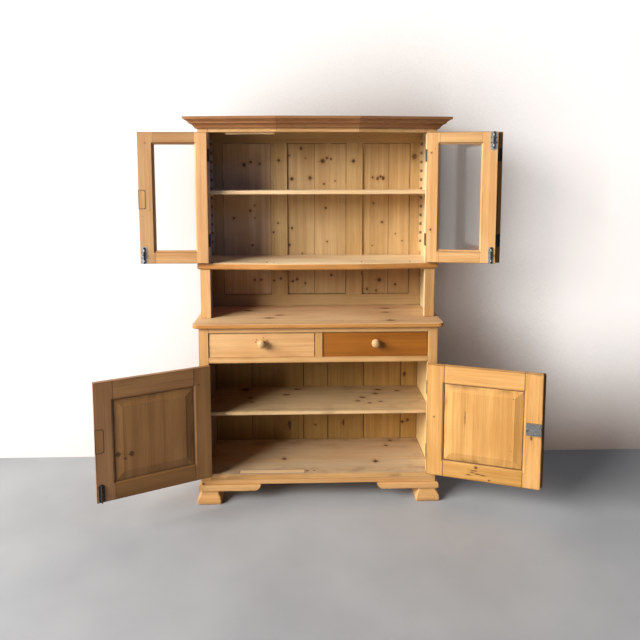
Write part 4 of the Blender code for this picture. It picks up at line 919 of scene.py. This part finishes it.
def framed_board(name, seed, turn, rails, span, tones=(1.0, 1.0, 1.0, 1.0), bead=0.0, shade_mask=None, knots=(),
                 **looks):
    """Pine on a frame: upright grain in its stiles, level grain in its rails, and a dark line at each joint.

    rails gives the heights of the bottom and the top rail, span the two ends of the rails on the board,
    tones how light the two stiles and the two rails are painted, as light and shade fall on them, bead how
    much painted shade darkens the glazing bead inside them, and dirt the mask of where else shade is painted."""
    obj = nodes[name]
    rotation, middle, half = cut_of_board(obj, "Z", turn)
    material, tree, coords = new_material(name + "_pine")
    vector, facing = board_vectors(tree, coords, rotation, middle)
    x, y, z = split(tree, vector)
    level = add(tree, "ShaderNodeCombineXYZ", {0: z, 1: y, 2: x}).outputs[0]
    level_x, level_y, level_z = split(tree, facing)
    level_facing = add(tree, "ShaderNodeCombineXYZ", {0: level_z, 1: level_y, 2: level_x}).outputs[0]
    low, high = rails[0] - half.z, half.z - rails[1]
    beyond = calc(tree, "MAXIMUM", calc(tree, "LESS_THAN", z, low), calc(tree, "GREATER_THAN", z, high))
    between = times(tree, calc(tree, "GREATER_THAN", x, span[0]), calc(tree, "LESS_THAN", x, span[1]))
    in_rail = times(tree, beyond, between)
    stile = figure(tree, vector, facing, half, seed, knots=on_board(knots, rotation, middle), **looks)
    rail = figure(tree, level, level_facing, (half.z, half.y, half.x), seed + 0.5, **looks)
    off = calc(tree, "MINIMUM", calc(tree, "ABSOLUTE", calc(tree, "SUBTRACT", x, span[0])),
               calc(tree, "ABSOLUTE", calc(tree, "SUBTRACT", x, span[1])))
    joint = times(tree, fade(tree, off, 0.0016, 0.0004), beyond)
    colour = tint(tree, in_rail, stile["Colour"], rail["Colour"])
    first, second, bottom, top = tones
    upright = linear(tree, calc(tree, "GREATER_THAN", x, 0.0), second - first, first)
    lying = linear(tree, calc(tree, "GREATER_THAN", z, 0.0), top - bottom, bottom)
    own = add(tree, "ShaderNodeMix", {0: in_rail, 2: upright, 3: lying}).outputs[0]
    colour = toned(tree, colour, own)
    within = times(tree, between, calc(tree, "SUBTRACT", 1.0, beyond))
    soiled_and_shaded = calc(tree, "MAXIMUM", times(tree, joint, 0.50), times(tree, within, bead))
    if shade_mask:
        soiled_and_shaded = calc(tree, "MAXIMUM", soiled_and_shaded, shade_mask(tree, coords["Object"]))
    colour = tint(tree, soiled_and_shaded, colour, (*GRIME_AND_SHADE, 1.0))
    mixed = [add(tree, "ShaderNodeMix", {0: in_rail, 2: stile[label], 3: rail[label]}).outputs[0]
             for label in ("Roughness", "Height")]
    waxed(material, colour, *mixed)
    dress(obj, material)


HUTCH_BACK_Y, HUTCH_FRAME_Y, BACK_MIDDLE = 0.310, 0.300, 0.314
FRIEZE_Z = 1.8545
BEHIND_STILE = 0.080
NICHE_TOP, WAIST_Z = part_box("waist_board")[0][2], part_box("waist_board")[1][2]
CORNICE_PINE = ((0.340, 0.150, 0.055), (0.255, 0.102, 0.032), (0.165, 0.060, 0.017))
BACK_KNOTS = {
    "left": [(-0.395, 1.70, 0.011), (-0.36, 1.715, 0.007), (-0.31, 1.705, 0.006), (-0.455, 1.41, 0.007),
             (-0.365, 1.45, 0.007), (-0.34, 1.41, 0.004), (-0.34, 1.48, 0.005), (-0.355, 1.26, 0.006),
             (-0.345, 1.065, 0.007), (-0.31, 1.067, 0.007)],
    "centre": [(-0.085, 1.79, 0.009), (-0.15, 1.75, 0.005), (-0.06, 1.737, 0.004), (0.034, 1.72, 0.013),
               (0.056, 1.737, 0.007), (0.077, 1.732, 0.006), (-0.136, 1.623, 0.010), (-0.037, 1.628, 0.010),
               (0.04, 1.596, 0.006), (0.10, 1.612, 0.004), (-0.137, 1.354, 0.007), (-0.15, 1.26, 0.007),
               (-0.08, 1.212, 0.005), (0.057, 1.278, 0.005), (0.05, 1.464, 0.006), (-0.135, 1.058, 0.008),
               (-0.11, 1.069, 0.008), (-0.065, 1.047, 0.006), (0.08, 1.09, 0.007)],
    "right": [(0.306, 1.632, 0.006), (0.334, 1.625, 0.009), (0.350, 1.636, 0.007), (0.365, 1.627, 0.010),
              (0.325, 1.56, 0.006), (0.312, 1.49, 0.005), (0.36, 1.385, 0.007), (0.435, 1.32, 0.004),
              (0.307, 1.255, 0.004), (0.473, 1.281, 0.004), (0.348, 1.062, 0.012), (0.438, 1.036, 0.007),
              (0.28, 1.011, 0.007), (0.331, 1.003, 0.006)]}
FRAME_KNOTS = [(0.533, 1.744, 0.015), (0.20, 1.72, 0.010), (-0.206, 1.723, 0.008), (-0.213, 1.382, 0.005),
               (-0.238, 1.332, 0.006), (-0.20, 1.075, 0.007), (-0.237, 1.064, 0.006), (0.25, 1.10, 0.006)]
BACK_SEEDS = {"left": 44.0, "centre": 45.0, "right": 46.0}
BACK_JOINTS = {"left": (), "centre": (-0.013,), "right": (0.395,)}
# The back panels are painted a little darker for the shade under the frieze, and lighter toward the right,
# where the light falls
BACK_TONES = {"left": (), "centre": (0.93, 0.98), "right": (0.97, 1.02)}
# The left back panel is greyer and darker to paint the cool shade it stands in
SHADED_GREY_PINE = ((0.555, 0.380, 0.212), (0.435, 0.270, 0.130), (0.325, 0.180, 0.073))
BACK_HUES = {"left": SHADED_GREY_PINE, "centre": DRY_PINE, "right": DRY_PINE}
# The inside of the left hutch side is greyed and darkened to paint the cool shade it stands in; the right one
# is pale
HUTCH_INSIDE_DRY_AND_SHADED = {"left": (0.360, 0.290, 0.255), "right": (0.680, 0.550, 0.310)}
STOP_PINE = (0.900, 0.640, 0.340)
MITRE_X = 0.203
RACK_LOW, RACK_PITCH, NOTCH_H, NOTCH_DEPTH = 1.227, 0.048, 0.016, 0.009
RACK_Y = 0.2777
RACK_NEAR, RACK_FAR = 0.545, 0.580


def rack_notch_shade(tree, place):
    """The mask of the notches in the shelf racks at the back, painted dark for the shade that falls in them.
    """
    x, y, z = split(tree, place)
    beside = calc(tree, "ABSOLUTE", x)
    step = calc(tree, "FRACT", calc(tree, "DIVIDE", calc(tree, "SUBTRACT", z, RACK_LOW), RACK_PITCH))
    mask = calc(tree, "LESS_THAN", step, NOTCH_H / RACK_PITCH)
    for value, low, high in ((y, RACK_Y + 0.0004, RACK_Y + NOTCH_DEPTH), (beside, RACK_NEAR, RACK_FAR)):
        mask = times(tree, mask, calc(tree, "GREATER_THAN", value, low))
        mask = times(tree, mask, calc(tree, "LESS_THAN", value, high))
    return times(tree, mask, 0.7)


def niche_painted_shade(tree, place):
    """The mask of painted shade on the back's front inside the open niche, under the waist board."""
    spot = split(tree, place)
    in_front = calc(tree, "LESS_THAN", spot["Y"], BACK_MIDDLE)
    in_niche = calc(tree, "LESS_THAN", spot["Z"], NICHE_TOP)
    return times(tree, times(tree, in_front, in_niche), 0.27)


def back_painted_shade(tree, place):
    """The mask of painted shade on the back frame: in its niche, and over its left side, which stands in
    shade.
    """
    spot = split(tree, place)
    in_front = calc(tree, "LESS_THAN", spot["Y"], BACK_MIDDLE)
    left_painted_shade = times(tree, in_front, fade(tree, spot["X"], -0.12, -0.50))
    return calc(tree, "MAXIMUM", niche_painted_shade(tree, place), times(tree, left_painted_shade, 0.40))


def stop_strip(tree, coords):
    """The mask of the newer door stop, which hangs below the frieze rail."""
    return calc(tree, "LESS_THAN", split(tree, coords["Object"])["Z"], FRIEZE_Z)


for number, (side, way) in enumerate(SIDES_IN_ORDER):
    pine_board(f"hutch_side_{side}", "Z", 40.0 + number, shade_mask=rack_notch_shade, dust=1.0,
               bare=inside_of_side(way, BEHIND_STILE), bleach=HUTCH_INSIDE_DRY_AND_SHADED[side])
pine_board("waist_board", "X", 42.0, tone=1.05, hues=NOSE_PINE, dust=1.0, soil=0.3)
pine_board("hutch_shelf", "X", 43.0, tone=1.05, hues=NEW_PINE, dust=0.6, soil=0.2)
for panel, knots in BACK_KNOTS.items():
    pine_board(f"hutch_back_panel_{panel}", "Z", BACK_SEEDS[panel], tone=1.05, hues=BACK_HUES[panel],
               arch=0.3, soil=0.9, hidden=0.0087, joints=BACK_JOINTS[panel], tones=BACK_TONES[panel],
               shade_mask=None if panel == "left" else niche_painted_shade,
               knots=[(x, HUTCH_BACK_Y, z, r) for x, z, r in knots])
framed_board("hutch_back_frame", 47.0, 0.0, (0.064, 0.095), (-1.0, 1.0), shade_mask=back_painted_shade, tone=0.97,
             hues=DRY_PINE, soil=0.6, knots=[(x, HUTCH_FRAME_Y, z, r) for x, z, r in FRAME_KNOTS])
# The right-hand facet of the frieze is painted darker, as it turns away from the light
pine_board("frieze_rail", "X", 48.0, joints=(-MITRE_X, MITRE_X), tones=(0.95, 0.95, 0.80), seam=0.0012,
           bare=stop_strip, dust=1.0, bleach=STOP_PINE)
pine_board("hutch_top", "X", 49.0, tone=0.9, dust=0.5)
# The three facets of the cornice are painted lighter on the left and darker on the right, as they turn to and
# from the light
pine_board("cornice", "X", 50.0, hues=CORNICE_PINE, soil=0.3, joints=(-MITRE_X, MITRE_X),
           tones=(1.25, 1.09, 0.95), seam=0.0012)
for side, near, far, seed in (("left", -0.530, -0.260, 84.0), ("right", 0.223, 0.466, 85.0)):
    let_in(f"waist_strip_{side}", "carcass", (near, 0.018, WAIST_Z - STRIP_DEPTH),
           (far, 0.050, WAIST_Z + LET_IN), FACE_Z, "X", seed, line=0.0042, hues=NEW_PINE, tone=1.12, soil=0.2)

# The glazed leaves: mortised pine frames, each round one pane held by a bevelled bead.  The left one shuts
# alone; the right one carries the centre one on its free edge, so that the two fold back together.

LEAF_T = 0.022
LEAF_REACH = 0.3396
LEAF_LOW, LEAF_HIGH = 1.207, 1.853
BOW, CANTED_RUN = 0.036, 0.392
CANT = math.atan2(BOW, CANTED_RUN)
LEAF_OPEN = {"left": math.radians(174.5), "right": math.radians(164.0)}
CENTRE_OPEN = math.radians(121.0)
LEAF_PLACE = {side: (PINS[f"leaf_{side}_swing"], way * (CANT + LEAF_OPEN[side]))
              for side, way in SIDE_OF.items()}
LEAF_PLACE["centre"] = (PINS["leaf_centre_fold"], LEAF_OPEN["right"] + CENTRE_OPEN)
POST_PLACE = {side: (PINS[f"leaf_{side}_swing"], SIDE_OF[side] * CANT) for side in SIDE_OF}
POST_PLACE["centre"] = (PINS["leaf_centre_fold"], LEAF_OPEN["right"])
LEAF_SIDE = {"left": LEFT, "right": RIGHT, "centre": RIGHT}
LEAF_POST = {"left": "carcass", "right": "carcass", "centre": "leaf_right"}
HINGE_STILE, FREE_STILE = 0.062, 0.077
LEAF_RAILS = (0.064, 0.060)
# These tones and hues paint light and shade on the leaves: the centre leaf is dark for the shade it stands
# in, the left leaf's pine is darker as the light falls off across it, its hinge stile lighter than its free
# stile and top rail, and the right leaf a little lighter where the light falls
LEAF_LIGHT_AND_SHADE = {"left": 1.0, "right": 1.08, "centre": 0.55}
LEFT_LEAF_SHADED_PINE = ((0.560, 0.312, 0.132), (0.440, 0.214, 0.075), (0.342, 0.148, 0.043))
LEAF_HUES = {"left": LEFT_LEAF_SHADED_PINE, "right": HONEY, "centre": HONEY}
LEAF_PART_LIGHT_AND_SHADE = {"left": (1.20, 0.86, 1.05, 0.84), "right": (1.06, 1.08, 1.02, 0.94),
              "centre": (1.0, 1.0, 1.0, 1.0)}
LEAF_MARKS = {"left": [(0.30, 1.80, 0.003)], "right": [(0.022, 1.372, 0.005), (0.022, 1.752, 0.004)],
              "centre": []}

glass, tree, coords = new_material("old_glass")
ripple = stretched_noise(tree, coords["Object"], (9.0, 9.0, 4.0), 1.0)
bump = add(tree, "ShaderNodeBump", {"Height": ripple, "Strength": 0.10, "Distance": 0.002})
smear = stretched_noise(tree, coords["Object"], (14.0, 14.0, 5.0), 3.0)
fill(tree, tree.nodes["Principled BSDF"],
     {"Base Color": (0.95, 0.92, 0.88, 1.0), "Roughness": linear(tree, smear, 0.04, 0.005), "IOR": 1.45,
      "Transmission Weight": 0.82, "Alpha": 0.38, "Normal": bump.outputs["Normal"]})

for number, leaf in enumerate(("left", "right", "centre")):
    pin, turn = LEAF_PLACE[leaf]
    side = LEAF_SIDE[leaf]
    reach = cut_of_board(nodes[f"leaf_{leaf}_frame"], "Z", turn)[2].x
    stiles = (HINGE_STILE, FREE_STILE) if side == LEFT else (FREE_STILE, HINGE_STILE)
    marks = [(*on_leaf(side, pin, turn, a, PIN_OUT + LEAF_T, z), r) for a, z, r in LEAF_MARKS[leaf]]
    # The glazing bead inside each frame is darkened with painted shade
    framed_board(f"leaf_{leaf}_frame", 60.0 + number, turn, LEAF_RAILS,
                 (stiles[0] - reach, reach - stiles[1]), tones=LEAF_PART_LIGHT_AND_SHADE[leaf], bead=0.35,
                 tone=LEAF_LIGHT_AND_SHADE[leaf], hues=LEAF_HUES[leaf], knots=marks, soil=0.6)
    dress(nodes[f"leaf_{leaf}_glass"], glass)
    for level in ("lower", "upper"):
        hinge_plates(f"leaf_{leaf}_{level}_hinge", side, LEAF_POST[leaf], f"leaf_{leaf}", POST_PLACE[leaf],
                     LEAF_PLACE[leaf])

LEAF_INNER = PIN_OUT + LEAF_T
let_in("leaf_left_block", "leaf_left", (LEAF_REACH - 0.033, LEAF_INNER - STRIP_DEPTH, 1.481),
       (LEAF_REACH - 0.0035, LEAF_INNER + LET_IN, 1.569), FACE_Y, "Z", 86.0, cut=0.009, cut_side=LEFT,
       place=LEAF_PLACE["left"], line=0.0034, hues=LEFT_LEAF_SHADED_PINE, tone=0.90, soil=0.2)
for leaf, end, low, high, width in (("left", "bottom", LEAF_LOW + 0.001, LEAF_LOW + 0.086, 0.032),
                                    ("right", "bottom", LEAF_LOW + 0.001, LEAF_LOW + 0.083, 0.028),
                                    ("right", "top", LEAF_HIGH - 0.001, LEAF_HIGH - 0.091, 0.033)):
    bolt_plate(f"leaf_{leaf}_{end}_bolt_plate", f"leaf_{leaf}", SIDE_OF[leaf], LEAF_PLACE[leaf], LEAF_REACH,
               LEAF_INNER, low, high, width, plated)
for pattern in (SCREW, STAPLE):
    bpy.data.objects.remove(pattern)

# The stage: a plain pale floor and a pale wall close behind, which glows with painted light and shade, and
# which a view from the back looks through.

WALL_Y = 0.425
WALL_GLOW = 0.78


def stage_sheet(name, scale, **place):
    """A flat sheet of the stage."""
    bpy.ops.object.select_all(action="DESELECT")
    bpy.ops.mesh.primitive_plane_add(size=1.0, **place)
    sheet = bpy.context.object
    sheet.name = name
    sheet.scale = scale
    bpy.ops.object.transform_apply(location=True, rotation=True, scale=True)
    return sheet


floor = stage_sheet("stage_floor", (16.0, 16.0, 1.0), location=(0.0, 0.0, 0.0))
floor_paint, tree, coords = new_material("pale_floor")
cloud = stretched_noise(tree, coords["Object"], (1.4, 1.4, 1.4), 4.0)
floor_colour = tint(tree, fade(tree, cloud, 0.25, 0.75), (0.33, 0.33, 0.33, 1.0), (0.42, 0.42, 0.415, 1.0))
fill(tree, tree.nodes["Principled BSDF"], {"Base Color": floor_colour, "Roughness": 0.6})
dress(floor, floor_paint)

wall = stage_sheet("stage_wall", (14.0, 6.0, 1.0), location=(0.0, WALL_Y, 3.0),
                   rotation=(math.radians(90), 0, 0))
wall_paint, tree, coords = new_material("pale_wall")
shader = tree.nodes["Principled BSDF"]
# The wall's glow is painted light, cut to a warm painted shade near the piece and deeper toward the right
near_by = add(tree, "ShaderNodeAmbientOcclusion", {"Distance": 0.9}, samples=8).outputs["AO"]
beside = split(tree, coords["Object"])["X"]
shade = add(tree, "ShaderNodeMapRange", {"Value": beside, "From Min": -0.7, "From Max": 0.7, "To Min": 0.5,
                                         "To Max": 2.4}).outputs["Result"]
open_to_room = calc(tree, "POWER", near_by, shade)
wall_light = tint(tree, fade(tree, open_to_room, 0.15, 0.75), (0.78, 0.56, 0.43, 1.0),
                  (1.05, 0.98, 0.93, 1.0))
fill(tree, shader, {"Base Color": (0.30, 0.29, 0.28, 1.0), "Roughness": 0.9, "Emission Color": wall_light,
                    "Emission Strength": times(tree, open_to_room, WALL_GLOW)})
back = add(tree, "ShaderNodeNewGeometry").outputs["Backfacing"]
path = add(tree, "ShaderNodeLightPath").outputs
seen = calc(tree, "MAXIMUM", path["Is Camera Ray"], path["Is Transmission Ray"])
seen = calc(tree, "MAXIMUM", seen, path["Is Glossy Ray"])
shown = times(tree, seen, calc(tree, "SUBTRACT", 1.0, back))
mixed = add(tree, "ShaderNodeMixShader", {0: shown, 1: add(tree, "ShaderNodeBsdfTransparent").outputs[0],
                                          2: shader.outputs[0]})
fill(tree, tree.nodes["Material Output"], {"Surface": mixed.outputs[0]})
dress(wall, wall_paint)

# Light: one broad soft source from the left and a little in front, as from a tall window, a weak cool one
# from the right front into the hutch, and a weak even light from all round.

KEY_AIM = Vector((0.0, 0.0, 1.0))
KEY_AT = KEY_AIM + Vector((-7.23, -4.17, 3.37))
KEY_WATTS = 1900.0
SKY_AIM = Vector((-0.45, 0.15, 1.52))
SKY_AT = Vector((4.4, -3.2, 3.2))
SKY_WATTS = 330.0
FRONT_LIGHT = 0.055
BACK_LIGHT = 0.32
BACKDROP = 0.80


def hang(name, data, at, aim):
    """Hangs a lamp at one point and aims it at another."""
    lamp = bpy.data.objects.new(name, data)
    lamp.location = at
    lamp.rotation_euler = (aim - at).to_track_quat("-Z", "Y").to_euler()
    bpy.context.scene.collection.objects.link(lamp)


key_data = bpy.data.lights.new("key_window", "AREA")
key_data.shape = "RECTANGLE"
key_data.size = 6.5
key_data.size_y = 4.0
key_data.energy = KEY_WATTS
hang("key_window", key_data, KEY_AT, KEY_AIM)

sky_data = bpy.data.lights.new("cool_fill", "SPOT")
sky_data.color = (0.16, 0.38, 1.0)
sky_data.energy = SKY_WATTS
sky_data.spot_size = math.radians(11)
sky_data.spot_blend = 0.8
sky_data.shadow_soft_size = 0.5
hang("cool_fill", sky_data, SKY_AT, SKY_AIM)

world = bpy.data.worlds.new("even_light")
world.use_nodes = True
tree = world.node_tree
direction = add(tree, "ShaderNodeTexCoord").outputs["Generated"]
depth = split(tree, direction)["Y"]
strength = add(tree, "ShaderNodeMapRange", {"Value": depth, "From Min": -0.3, "From Max": 0.6,
                                            "To Min": FRONT_LIGHT, "To Max": BACK_LIGHT}).outputs["Result"]
looked_at = add(tree, "ShaderNodeLightPath").outputs["Is Camera Ray"]
strength = calc(tree, "MAXIMUM", strength, times(tree, looked_at, BACKDROP))
sky = tint(tree, calc(tree, "MAXIMUM", looked_at, fade(tree, depth, -0.3, 0.6)), (0.72, 0.92, 1.35, 1.0),
           (1.0, 0.99, 0.97, 1.0))
fill(tree, tree.nodes["Background"], {"Color": sky, "Strength": strength})
bpy.context.scene.world = world
bpy.context.scene.view_settings.view_transform = "Standard"

# Camera: at standing height in front, a little left of the middle, looking slightly down.

camera_data = bpy.data.cameras.new("photo_camera")
camera_data.lens = 33.03
camera_data.sensor_width = 36.0
camera_data.shift_y = -0.135
camera = bpy.data.objects.new("photo_camera", camera_data)
camera.location = (-0.0735, -2.917, 1.638)
camera.rotation_euler = (math.radians(90.0 - 5.58), math.radians(0.07), math.radians(-1.622))
bpy.context.scene.collection.objects.link(camera)
bpy.context.scene.camera = camera
